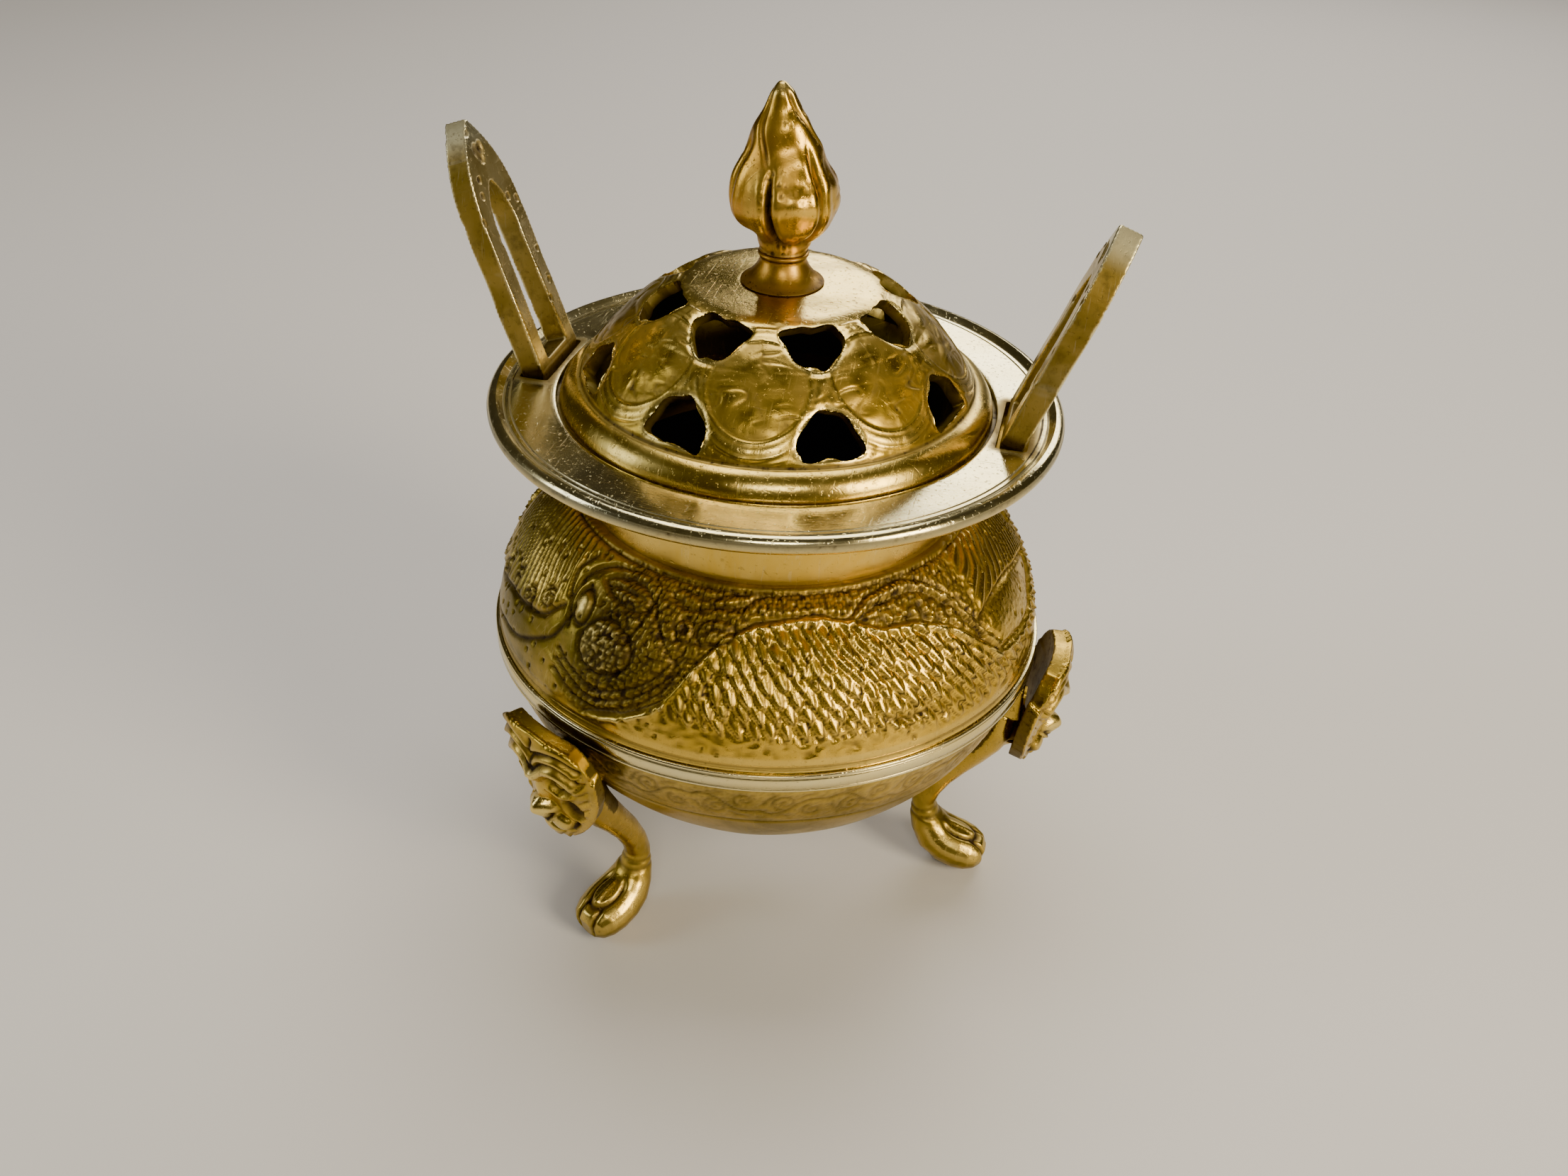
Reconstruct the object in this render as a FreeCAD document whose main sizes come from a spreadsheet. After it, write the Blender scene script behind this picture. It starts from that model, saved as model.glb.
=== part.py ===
import FreeCAD, Part
import math
import os
import Sketcher

# A standing brass censer: a two-part cast belly on three lion-mask legs, a wide
# polished rim with two hairpin handles, and a pierced lid with a bud finial.
# Millimetres, +Z up. The origin is on the belly's axis, at the level of the feet.
# +X points at one handle, which stands over one of the three legs.

SIZES = {
    # belly and neck
    "belly_radius": (49.6, "widest outside radius of the belly"),
    "belly_height": (54.5, "height of the widest plane, where the two castings meet"),
    "bowl_bottom": (18.7, "height of the lowest point of the bowl, outside"),
    "bowl_flat": (6.0, "radius of the flat under the bowl"),
    "bowl_curve": (44.0, "radius of the lower bowl's outside curve"),
    "shoulder_curve": (31.0, "radius of the shoulder's outside curve"),
    "shoulder_top": (81.5, "height where the cast relief ends"),
    "shoulder_step": (1.4, "step from the relief in to the neck"),
    "neck_radius": (33.0, "outside radius of the neck"),
    "wall": (2.6, "wall of the belly and neck"),
    "band_width": (3.4, "height of the plain band over the joint"),
    "band_proud": (0.6, "how far the band stands out"),
    # rim
    "rim_radius": (49.0, "outside radius of the rim"),
    "rim_top": (100.1, "height of the top of the lip"),
    "rim_dish": (0.8, "how far the rim's flat lies below the lip"),
    "flange_thickness": (2.4, "thickness of the rim's flat"),
    "cove_radius": (5.0, "hollow curve from the neck out to the rim"),
    "mouth_radius": (37.5, "radius of the recess that the lid sits in"),
    "seat_depth": (1.1, "depth of the lid's seat below the rim's flat"),
    # lid
    "lid_gap": (0.6, "gap round the lid in its recess"),
    "lid_wall": (1.9, "wall of the lid"),
    "skirt_height": (4.7, "height of the rounded skirt of the lid"),
    "skirt_width": (3.3, "how far the skirt stands out from the dome"),
    "skirt_curve": (4.6, "radius of the skirt's outside curve"),
    "dome_height": (21.2, "height of the lid from its seat to its crown"),
    "crown_radius": (14.0, "radius of the nearly flat crown"),
    "crown_fall": (0.4, "how far the crown falls to its edge"),
    "haunch_radius": (24.0, "radius where the rounded haunch meets the flank"),
    "haunch_fall": (5.3, "fall from the crown to the foot of the haunch"),
    "haunch_curve": (14.0, "radius of the haunch's curve"),
    "flank_curve": (50.0, "radius of the flank's curve"),
    "hole_reach": (11.4, "length of the punch that cuts the lid's holes"),
    "spigot_depth": (4.7, "depth of the ring that keeps the lid central"),
    "spigot_wall": (1.5, "wall of that ring"),
    "spigot_gap": (0.5, "gap between that ring and the neck"),
    "hole_count": (8, "holes in each row of the lid"),
    "upper_hole": (4.7, "half width of an upper hole"),
    "upper_hole_place": (20.0, "distance of an upper hole from the axis"),
    "upper_hole_lean": (34.0, "slope of the lid at an upper hole, degrees"),
    "lower_hole": (5.1, "half width of a lower hole"),
    "lower_hole_place": (30.2, "distance of a lower hole from the axis"),
    "lower_hole_rise": (8.2, "height of a lower hole above the seat"),
    "lower_hole_lean": (50.0, "slope of the lid at a lower hole, degrees"),
    "first_hole": (-61.9, "direction of the first column of holes, degrees"),
    # finial
    "collar_radius": (7.0, "radius of the finial collar's foot"),
    "collar_edge": (0.7, "height of the collar's edge"),
    "collar_height": (5.4, "height of the collar"),
    "collar_curve": (5.2, "radius of the collar's hollow flare"),
    "finial_neck": (3.9, "radius at the joint of collar and bud"),
    "bud_radius": (8.5, "widest radius of the bud"),
    "bud_belly": (8.1, "height of the bud's widest plane above the collar"),
    "bud_height": (26.7, "height of the bud"),
    "bud_shoulder": (5.0, "radius of the bud where its point begins"),
    "bud_shoulder_rise": (18.0, "height of that place above the collar"),
    "stud_radius": (2.0, "radius of the threaded stud through the finial"),
    "stud_grip": (12.0, "depth of the stud in the bud"),
    "stud_tail": (1.2, "stud left showing past the nut"),
    "nut_flats": (7.0, "nut, across flats"),
    "nut_height": (3.2, "nut, height"),
    "washer_radius": (5.6, "finial washer, outside radius"),
    "washer_thickness": (1.0, "finial washer, thickness"),
    "running_gap": (0.05, "radial gap round a stud or a screw"),
    # handles
    "handle_count": (2, "number of handles"),
    "handle_circle": (41.0, "distance of the handles from the axis"),
    "handle_width": (16.0, "width of a handle"),
    "handle_bar": (4.0, "width of each bar of the loop"),
    "handle_thickness": (4.0, "thickness of the loop"),
    "handle_right_length": (38.0, "length of the right loop above the rim"),
    "handle_left_length": (42.5, "length of the left loop above the rim"),
    "handle_straight_share": (0.64, "straight share of a loop's length"),
    "handle_point_curve": (22.0, "radius of each side of the pointed top"),
    "handle_bridge": (1.6, "metal under the slot of the loop"),
    "handle_slot_share": (0.72, "length of a loop's slot, as a share of the loop's length"),
    "handle_slot_curve": (11.0, "radius of each side of the slot's top"),
    "handle_lean": (20.0, "outward lean of the loop, degrees"),
    "handle_gap": (0.6, "gap round the handle in the rim"),
    "tenon_width": (11.0, "width of the tenon through the anchor plate"),
    "tenon_thickness": (2.6, "thickness of the tenon"),
    "tenon_peen": (0.9, "tenon hammered over below the anchor plate"),
    "anchor_width": (24.0, "length of the anchor plate"),
    "anchor_depth": (5.6, "width of the anchor plate"),
    "anchor_thickness": (1.4, "thickness of the anchor plate"),
    # legs
    "leg_count": (3, "number of legs"),
    "foot_circle": (40.6, "distance of the feet from the axis"),
    "foot_length": (12.6, "length of a foot"),
    "foot_width": (11.0, "width of a foot"),
    "foot_height": (8.6, "height of a foot"),
    "leg_width": (6.6, "width of a leg at the shin"),
    "ankle_height": (15.0, "height of the thinnest place of a leg"),
    "ankle_circle": (33.4, "distance of the ankle from the axis"),
    "ankle_thickness": (5.2, "thickness of the ankle"),
    "shin_height": (29.5, "height of the middle of the shin"),
    "shin_thickness": (6.2, "thickness of the shin"),
    "shin_set_in": (8.0, "how far the shin lies inside the belly's radius"),
    "mask_width": (21.0, "width of a lion mask"),
    "mask_thickness": (2.9, "thickness of a lion mask"),
    "mask_rise": (1.3, "height of the mask's top above the widest plane"),
    "mask_length": (23.5, "height of a mask"),
    "mask_gap": (0.35, "gap between the mask and the band"),
    "mask_drop": (17.5, "depth of the muzzle below the mask's top"),
    "muzzle_proud": (2.4, "how far the muzzle stands out from the mask"),
    "mask_slope": (4.8, "how far the mask's foot lies inside its top"),
    "boss_radius": (4.2, "radius of the boss behind the mask"),
    "screw_drop": (10.5, "depth of the leg screws below the widest plane"),
    "screw_radius": (1.95, "leg screw, radius"),
    "screw_head_radius": (3.7, "leg screw, head radius"),
    "screw_head_height": (2.4, "leg screw, head height"),
    "screw_slot": (0.8, "leg screw, width and depth of the driver slot"),
    "screw_end_cover": (1.0, "metal left in the mask past the screw's end"),
    "pad_radius": (5.0, "radius of the screw's pad inside the bowl"),
    "pad_set_in": (8.6, "depth of the pad's face inside the belly's wall"),
    "leg_washer_radius": (4.5, "leg washer, outside radius"),
    "leg_washer_thickness": (0.8, "leg washer, thickness"),
}

# Heights and radii that several pieces share, written from the sizes above.
FLAT = "(sizes.rim_top - sizes.rim_dish)"
UNDER = "(%s - sizes.flange_thickness)" % FLAT
SEAT = "(%s - sizes.seat_depth)" % FLAT
THROAT = "(sizes.neck_radius - sizes.wall)"
LID_EDGE = "(sizes.mouth_radius - sizes.lid_gap)"
CROWN = "(%s + sizes.dome_height)" % SEAT
CROWN_INSIDE = "(%s - sizes.lid_wall)" % CROWN
COLLAR_TOP = "(%s + sizes.collar_height)" % CROWN
SPIGOT = "(%s - sizes.spigot_gap)" % THROAT
BORE = "(sizes.stud_radius + sizes.running_gap)"
PAD_FACE = "(sizes.belly_radius - sizes.wall - sizes.pad_set_in)"
MASK_TOP = "(sizes.belly_height + sizes.mask_rise)"
MASK_BACK = "(sizes.belly_radius + sizes.band_proud + sizes.mask_gap)"
SCREW_HEIGHT = "(sizes.belly_height - sizes.screw_drop)"
SCREW_END = "(%s + sizes.mask_thickness - sizes.screw_end_cover - sizes.mask_slope / 2)" % MASK_BACK
TURN = 360.0

doc = FreeCAD.newDocument("censer")
sizes = doc.addObject("Spreadsheet::Sheet", "sizes")
for row, (alias, (amount, meaning)) in enumerate(SIZES.items(), start=1):
    sizes.set("A%d" % row, meaning)
    sizes.set("B%d" % row, str(amount))
    sizes.setAlias("B%d" % row, alias)
doc.recompute()


def evaluate(owner, expression):
    """The number that an expression on the sheet comes to."""
    return float(owner.evalExpression(expression))


def new_body(name):
    body = doc.addObject("PartDesign::Body", name)
    body.Label = name
    return body


def origin_plane(body, role):
    for feature in body.Origin.OriginFeatures:
        if feature.Role == role:
            return feature
    raise ValueError("no plane " + role)


def new_sketch(body, name, role, offset=None):
    """A sketch on one of the body's own planes. offset maps properties of the
    attachment offset, such as Base.z, to expressions."""
    sketch = body.newObject("Sketcher::SketchObject", name)
    sketch.AttachmentSupport = [(origin_plane(body, role), "")]
    sketch.MapMode = "FlatFace"
    if offset:
        sketch.AttachmentOffset = FreeCAD.Placement(
            FreeCAD.Vector(), FreeCAD.Rotation(FreeCAD.Vector(1, 0, 0), 1.0)
        )
        for key, expression in offset.items():
            sketch.setExpression("AttachmentOffset." + key, expression)
    doc.recompute()
    return sketch


def arc_between(start, end, radius, side):
    """Anticlockwise circle arc through two points. side is 1 where the arc
    bulges to the right of the way from start to end, and -1 to the left."""
    chord = end - start
    half = chord.Length / 2.0
    reach = math.sqrt(max(radius * radius - half * half, 0.0))
    left = FreeCAD.Vector(-chord.y, chord.x, 0).normalize()
    centre = (start + end) * 0.5 + left * (reach * side)
    first, last = (start, end) if side > 0 else (end, start)
    begin = math.atan2(first.y - centre.y, first.x - centre.x)
    finish = math.atan2(last.y - centre.y, last.x - centre.x)
    if finish < begin:
        finish += 2 * math.pi
    circle = Part.Circle(centre, FreeCAD.Vector(0, 0, 1), radius)
    return Part.ArcOfCircle(circle, begin, finish)


def bind(sketch, kind, where, expression):
    """Adds one driving dimension and ties it to the sheet."""
    index = sketch.addConstraint(Sketcher.Constraint(kind, *where, evaluate(sketch, expression)))
    sketch.setExpression("Constraints[%d]" % index, expression)


def draw_loop(sketch, corners):
    """A closed outline. Each corner is (x, y), both expressions, or
    (x, y, radius, side) where an arc leads on to the next corner."""
    points = []
    for corner in corners:
        points.append(FreeCAD.Vector(evaluate(sketch, corner[0]), evaluate(sketch, corner[1]), 0))
    ends = []
    for number, corner in enumerate(corners):
        start = points[number]
        end = points[(number + 1) % len(points)]
        if len(corner) == 2:
            edge = sketch.addGeometry(Part.LineSegment(start, end), False)
            ends.append((edge, 1, 2))
        else:
            radius = evaluate(sketch, corner[2])
            edge = sketch.addGeometry(arc_between(start, end, radius, corner[3]), False)
            ends.append((edge, 1, 2) if corner[3] > 0 else (edge, 2, 1))
    for number, (edge, head, tail) in enumerate(ends):
        following, start_of_next = ends[(number + 1) % len(ends)][:2]
        sketch.addConstraint(Sketcher.Constraint("Coincident", edge, tail, following, start_of_next))
    for corner, (edge, head, tail) in zip(corners, ends):
        for kind, axis, expression in (("DistanceX", -2, corner[0]), ("DistanceY", -1, corner[1])):
            if expression == "0":
                sketch.addConstraint(Sketcher.Constraint("PointOnObject", edge, head, axis))
            else:
                bind(sketch, kind, (-1, 1, edge, head), expression)
        if len(corner) > 2:
            bind(sketch, "Radius", (edge,), corner[2])
    doc.recompute()
    return sketch


def draw_circle(sketch, height, radius):
    """One circle on the sketch's vertical axis."""
    centre = FreeCAD.Vector(0, evaluate(sketch, height), 0)
    circle = Part.Circle(centre, FreeCAD.Vector(0, 0, 1), evaluate(sketch, radius))
    edge = sketch.addGeometry(circle, False)
    sketch.addConstraint(Sketcher.Constraint("PointOnObject", edge, 3, -2))
    if height == "0":
        sketch.addConstraint(Sketcher.Constraint("PointOnObject", edge, 3, -1))
    else:
        bind(sketch, "DistanceY", (-1, 1, edge, 3), height)
    bind(sketch, "Radius", (edge,), radius)
    doc.recompute()
    return sketch


def revolve(body, sketch, name, axis="V_Axis", kind="Revolution"):
    feature = body.newObject("PartDesign::" + kind, name)
    feature.Profile = sketch
    feature.ReferenceAxis = (sketch, [axis])
    feature.Angle = TURN
    doc.recompute()
    return feature


def extrude(body, sketch, name, length, kind="Pad", both_sides=False, backwards=False):
    feature = body.newObject("PartDesign::" + kind, name)
    feature.Profile = sketch
    feature.setExpression("Length", length)
    feature.Reversed = backwards
    if both_sides:
        feature.SideType = "Symmetric"
    doc.recompute()
    return feature


def repeat_round(body, upright_sketch, features, name, count):
    """Repeats features about the vertical axis of a sketch that isn't offset."""
    pattern = body.newObject("PartDesign::PolarPattern", name)
    pattern.Originals = features
    pattern.Axis = (upright_sketch, ["V_Axis"])
    pattern.Angle = TURN
    pattern.setExpression("Occurrences", count)
    body.Tip = pattern
    doc.recompute()


def check_cut(body, before, name):
    """A pocket that points away from the metal removes nothing and says nothing."""
    doc.recompute()
    if body.Shape.Volume > before - 1.0:
        raise ValueError(name + " removed nothing")


def place(body, direction, height=None):
    """Turns a piece about the axis of the belly, and lifts it."""
    body.Placement = FreeCAD.Placement(
        FreeCAD.Vector(), FreeCAD.Rotation(FreeCAD.Vector(0, 0, 1), direction)
    )
    if height:
        body.setExpression("Placement.Base.z", height)
    doc.recompute()


def bowl_outside(margin):
    """Corners of the bowl's outside curve, closed along the axis and down from
    its widest plane. margin is added to the outline's top."""
    return [
        ("0", "sizes.bowl_bottom"),
        ("sizes.bowl_flat", "sizes.bowl_bottom", "sizes.bowl_curve", 1),
        ("sizes.belly_radius", "sizes.belly_height"),
        ("sizes.belly_radius", "sizes.belly_height + " + margin),
        ("0", "sizes.belly_height + " + margin),
    ]


def make_vessel_lower():
    body = new_body("vessel_lower")
    shell = draw_loop(new_sketch(body, "bowl_profile", "XZ_Plane"), [
        ("0", "sizes.bowl_bottom"),
        ("sizes.bowl_flat", "sizes.bowl_bottom", "sizes.bowl_curve", 1),
        ("sizes.belly_radius", "sizes.belly_height"),
        ("sizes.belly_radius - sizes.wall", "sizes.belly_height", "sizes.bowl_curve - sizes.wall", -1),
        ("sizes.bowl_flat", "sizes.bowl_bottom + sizes.wall"),
        ("0", "sizes.bowl_bottom + sizes.wall"),
    ])
    revolve(body, shell, "bowl_shell")
    pad_sketch = draw_circle(
        new_sketch(body, "pad_circle", "YZ_Plane", {"Base.z": PAD_FACE, "Rotation.Angle": "0"}),
        SCREW_HEIGHT, "sizes.pad_radius",
    )
    pad = extrude(body, pad_sketch, "screw_pad", "sizes.pad_set_in + sizes.wall")
    before = body.Shape.Volume
    hole_sketch = draw_circle(
        new_sketch(body, "screw_circle", "YZ_Plane"),
        SCREW_HEIGHT, "sizes.screw_radius + sizes.running_gap",
    )
    hole = extrude(body, hole_sketch, "screw_hole", "sizes.belly_radius", "Pocket", backwards=True)
    check_cut(body, before, "screw_hole")
    repeat_round(body, shell, [pad, hole], "screw_places", "sizes.leg_count")
    before = body.Shape.Volume
    outside = draw_loop(new_sketch(body, "pad_trim_outline", "XZ_Plane"), [
        ("0", "sizes.bowl_bottom"),
        ("sizes.bowl_flat", "sizes.bowl_bottom", "sizes.bowl_curve", 1),
        ("sizes.belly_radius", "sizes.belly_height"),
        ("sizes.belly_radius + sizes.pad_set_in", "sizes.belly_height"),
        ("sizes.belly_radius + sizes.pad_set_in", "0"),
        ("0", "0"),
    ])
    revolve(body, outside, "pad_trim", kind="Groove")
    check_cut(body, before, "pad_trim")


def make_vessel_shoulder():
    body = new_body("vessel_shoulder")
    shell = draw_loop(new_sketch(body, "shoulder_profile", "XZ_Plane"), [
        ("sizes.belly_radius - sizes.wall", "sizes.belly_height"),
        ("sizes.belly_radius", "sizes.belly_height", "sizes.shoulder_curve", 1),
        ("sizes.neck_radius + sizes.shoulder_step", "sizes.shoulder_top"),
        (THROAT, "sizes.shoulder_top"),
        (THROAT, "sizes.shoulder_top - sizes.wall / 3", "sizes.shoulder_curve - sizes.wall", -1),
    ])
    revolve(body, shell, "shoulder_shell")


def make_neck_rim():
    body = new_body("neck_rim")
    lip = "((sizes.rim_top - %s) / 2)" % UNDER
    shell = draw_loop(new_sketch(body, "rim_profile", "XZ_Plane"), [
        (THROAT, "sizes.shoulder_top"),
        ("sizes.neck_radius", "sizes.shoulder_top"),
        ("sizes.neck_radius", UNDER + " - sizes.cove_radius", "sizes.cove_radius", -1),
        ("sizes.neck_radius + sizes.cove_radius", UNDER),
        ("sizes.rim_radius - " + lip, UNDER, lip, 1),
        ("sizes.rim_radius", "sizes.rim_top - " + lip, lip, 1),
        ("sizes.rim_radius - " + lip, "sizes.rim_top"),
        ("sizes.rim_radius - %s - sizes.rim_dish" % lip, FLAT),
        ("sizes.mouth_radius", FLAT),
        ("sizes.mouth_radius", SEAT),
        (THROAT, SEAT),
    ])
    revolve(body, shell, "rim_turned")
    before = body.Shape.Volume
    half = "(sizes.handle_width / 2 + sizes.handle_gap)"
    inner = "(sizes.handle_circle - sizes.handle_thickness / 2 - sizes.handle_gap)"
    outer = "(sizes.handle_circle + sizes.handle_thickness / 2 + sizes.handle_gap)"
    above = {"Base.z": "sizes.rim_top", "Rotation.Angle": "0"}
    slot_sketch = draw_loop(new_sketch(body, "handle_slot_outline", "XY_Plane", above), [
        (inner, "-" + half),
        (outer, "-" + half),
        (outer, half),
        (inner, half),
    ])
    depth = "sizes.rim_top - %s + sizes.handle_gap" % UNDER
    slot = extrude(body, slot_sketch, "handle_slot", depth, "Pocket")
    check_cut(body, before, "handle_slot")
    repeat_round(body, shell, [slot], "handle_slots", "sizes.handle_count")


def make_belly_band():
    body = new_body("belly_band")
    low = "(sizes.belly_height - sizes.band_width / 2)"
    high = "(sizes.belly_height + sizes.band_width / 2)"
    inner = "(sizes.belly_radius + sizes.running_gap)"
    outer = "(sizes.belly_radius + sizes.band_proud)"
    ring = draw_loop(new_sketch(body, "band_profile", "XZ_Plane"), [
        (inner, low),
        (outer, low),
        (outer, high),
        (inner, high),
    ])
    revolve(body, ring, "band_ring")


def make_leg(name, direction):
    body = new_body(name)
    mask_out = "(%s + sizes.mask_thickness)" % MASK_BACK
    muzzle = "(%s - sizes.mask_drop)" % MASK_TOP
    mask_foot = "(%s - sizes.mask_length)" % MASK_TOP
    mask_sketch = draw_loop(new_sketch(body, "mask_profile", "XZ_Plane"), [
        (MASK_BACK, MASK_TOP),
        (mask_out, MASK_TOP),
        (mask_out + " - sizes.mask_slope / 2", muzzle + " + sizes.muzzle_proud * 2"),
        (mask_out + " - sizes.mask_slope + sizes.muzzle_proud", muzzle),
        (mask_out + " - sizes.mask_slope", mask_foot),
        (MASK_BACK + " - sizes.mask_slope", mask_foot),
        (MASK_BACK, "sizes.belly_height - sizes.band_width"),
    ])
    extrude(body, mask_sketch, "mask", "sizes.mask_width", both_sides=True)
    knee = "(%s - sizes.mask_slope / 2)" % MASK_BACK
    shin = "(sizes.belly_radius - sizes.shin_set_in)"
    leg_sketch = draw_loop(new_sketch(body, "leg_profile", "XZ_Plane"), [
        (knee + " - sizes.mask_slope / 3", "%s + sizes.mask_length / 3" % mask_foot),
        (shin + " - sizes.shin_thickness / 2", "sizes.shin_height"),
        ("sizes.ankle_circle - sizes.ankle_thickness / 2", "sizes.ankle_height"),
        ("sizes.foot_circle - sizes.foot_length / 2", "sizes.foot_height / 2"),
        ("sizes.foot_circle", "sizes.foot_height / 2"),
        ("sizes.ankle_circle + sizes.ankle_thickness / 2", "sizes.ankle_height"),
        (shin + " + sizes.shin_thickness / 2", "sizes.shin_height"),
        (mask_out + " - sizes.mask_slope", "%s + sizes.mask_length / 4" % mask_foot),
    ])
    extrude(body, leg_sketch, "shin", "sizes.leg_width", both_sides=True)
    foot_sketch = draw_loop(new_sketch(body, "foot_profile", "XZ_Plane"), [
        ("sizes.foot_circle - sizes.foot_length / 2", "0"),
        ("sizes.foot_circle + sizes.foot_length / 2", "0"),
        ("sizes.foot_circle + sizes.foot_length / 2", "sizes.foot_height / 3",
         "sizes.foot_length", 1),
        ("sizes.foot_circle - sizes.foot_length / 6", "sizes.foot_height"),
        ("sizes.foot_circle - sizes.foot_length / 2", "sizes.foot_height * 2 / 3"),
    ])
    extrude(body, foot_sketch, "foot", "sizes.foot_width", both_sides=True)
    boss_sketch = draw_circle(
        new_sketch(body, "boss_circle", "YZ_Plane", {"Base.z": PAD_FACE, "Rotation.Angle": "0"}),
        SCREW_HEIGHT, "sizes.boss_radius",
    )
    extrude(body, boss_sketch, "boss", "%s - %s" % (MASK_BACK, PAD_FACE))
    before = body.Shape.Volume
    bowl_sketch = draw_loop(
        new_sketch(body, "bowl_curve_outline", "XZ_Plane"), bowl_outside("sizes.shoulder_step")
    )
    revolve(body, bowl_sketch, "bowl_clearance", kind="Groove")
    check_cut(body, before, "bowl_clearance")
    before = body.Shape.Volume
    tap_sketch = draw_circle(
        new_sketch(body, "tap_circle", "YZ_Plane"),
        SCREW_HEIGHT, "sizes.screw_radius + sizes.running_gap",
    )
    extrude(body, tap_sketch, "tapped_hole", SCREW_END, "Pocket", backwards=True)
    check_cut(body, before, "tapped_hole")
    place(body, direction)


def make_leg_screw(name, direction):
    body = new_body(name)
    under_head = "(%s - sizes.leg_washer_thickness)" % PAD_FACE
    head_end = "(%s - sizes.screw_head_height)" % under_head
    profile = draw_loop(new_sketch(body, "screw_profile", "XZ_Plane"), [
        (head_end, "0"),
        (head_end, "sizes.screw_head_radius"),
        (under_head, "sizes.screw_head_radius"),
        (under_head, "sizes.screw_radius"),
        (SCREW_END + " - sizes.running_gap", "sizes.screw_radius"),
        (SCREW_END + " - sizes.running_gap", "0"),
    ])
    revolve(body, profile, "screw_turned", axis="H_Axis")
    before = body.Shape.Volume
    slot_sketch = draw_loop(new_sketch(body, "driver_slot_outline", "XZ_Plane"), [
        (head_end + " - sizes.screw_slot", "-(sizes.screw_slot / 2)"),
        (head_end + " + sizes.screw_slot", "-(sizes.screw_slot / 2)"),
        (head_end + " + sizes.screw_slot", "sizes.screw_slot / 2"),
        (head_end + " - sizes.screw_slot", "sizes.screw_slot / 2"),
    ])
    extrude(body, slot_sketch, "driver_slot", "sizes.screw_head_radius * 3", "Pocket", both_sides=True)
    check_cut(body, before, "driver_slot")
    place(body, direction, SCREW_HEIGHT)


def make_leg_washer(name, direction):
    body = new_body(name)
    profile = draw_loop(new_sketch(body, "washer_profile", "XZ_Plane"), [
        ("%s - sizes.leg_washer_thickness" % PAD_FACE, "sizes.screw_radius + sizes.running_gap"),
        ("%s - sizes.leg_washer_thickness" % PAD_FACE, "sizes.leg_washer_radius"),
        (PAD_FACE, "sizes.leg_washer_radius"),
        (PAD_FACE, "sizes.screw_radius + sizes.running_gap"),
    ])
    revolve(body, profile, "washer_ring", axis="H_Axis")
    place(body, direction, SCREW_HEIGHT)


def make_handle(name, direction):
    body = new_body(name)
    half = "(sizes.handle_width / 2)"
    slot_half = "(sizes.handle_width / 2 - sizes.handle_bar)"
    length = "sizes.%s_length" % name
    shoulder = "(%s * sizes.handle_straight_share)" % length
    slot_shoulder = "(%s - sizes.handle_bar)" % shoulder
    lean = {
        "Base.y": FLAT,
        "Base.z": "sizes.handle_circle",
        "Rotation.Angle": "sizes.handle_lean",
    }
    upright = {"Base.z": "sizes.handle_circle", "Rotation.Angle": "0"}
    loop_sketch = draw_loop(new_sketch(body, "loop_outline", "YZ_Plane", lean), [
        ("-" + half, "0"),
        (half, "0"),
        (half, shoulder, "sizes.handle_point_curve", 1),
        ("0", length, "sizes.handle_point_curve", 1),
        ("-" + half, shoulder),
    ])
    extrude(body, loop_sketch, "loop", "sizes.handle_thickness", both_sides=True)
    before = body.Shape.Volume
    slot_sketch = draw_loop(new_sketch(body, "loop_slot_outline", "YZ_Plane", lean), [
        ("-" + slot_half, "sizes.handle_bridge"),
        (slot_half, "sizes.handle_bridge"),
        (slot_half, slot_shoulder, "sizes.handle_slot_curve", 1),
        ("0", "sizes.handle_bridge + %s * sizes.handle_slot_share" % length, "sizes.handle_slot_curve", 1),
        ("-" + slot_half, slot_shoulder),
    ])
    extrude(body, slot_sketch, "loop_slot", "sizes.handle_thickness * 2", "Pocket", both_sides=True)
    check_cut(body, before, "loop_slot")
    stem_sketch = draw_loop(new_sketch(body, "stem_outline", "YZ_Plane", upright), [
        ("-" + half, UNDER),
        (half, UNDER),
        (half, "%s + sizes.handle_bridge / 2" % FLAT),
        ("-" + half, "%s + sizes.handle_bridge / 2" % FLAT),
    ])
    extrude(body, stem_sketch, "stem", "sizes.handle_thickness", both_sides=True)
    tenon_end = "(%s - sizes.anchor_thickness - sizes.tenon_peen)" % UNDER
    tenon_sketch = draw_loop(new_sketch(body, "tenon_outline", "YZ_Plane", upright), [
        ("-(sizes.tenon_width / 2)", tenon_end),
        ("sizes.tenon_width / 2", tenon_end),
        ("sizes.tenon_width / 2", FLAT),
        ("-(sizes.tenon_width / 2)", FLAT),
    ])
    extrude(body, tenon_sketch, "tenon", "sizes.tenon_thickness", both_sides=True)
    place(body, direction)


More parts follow.
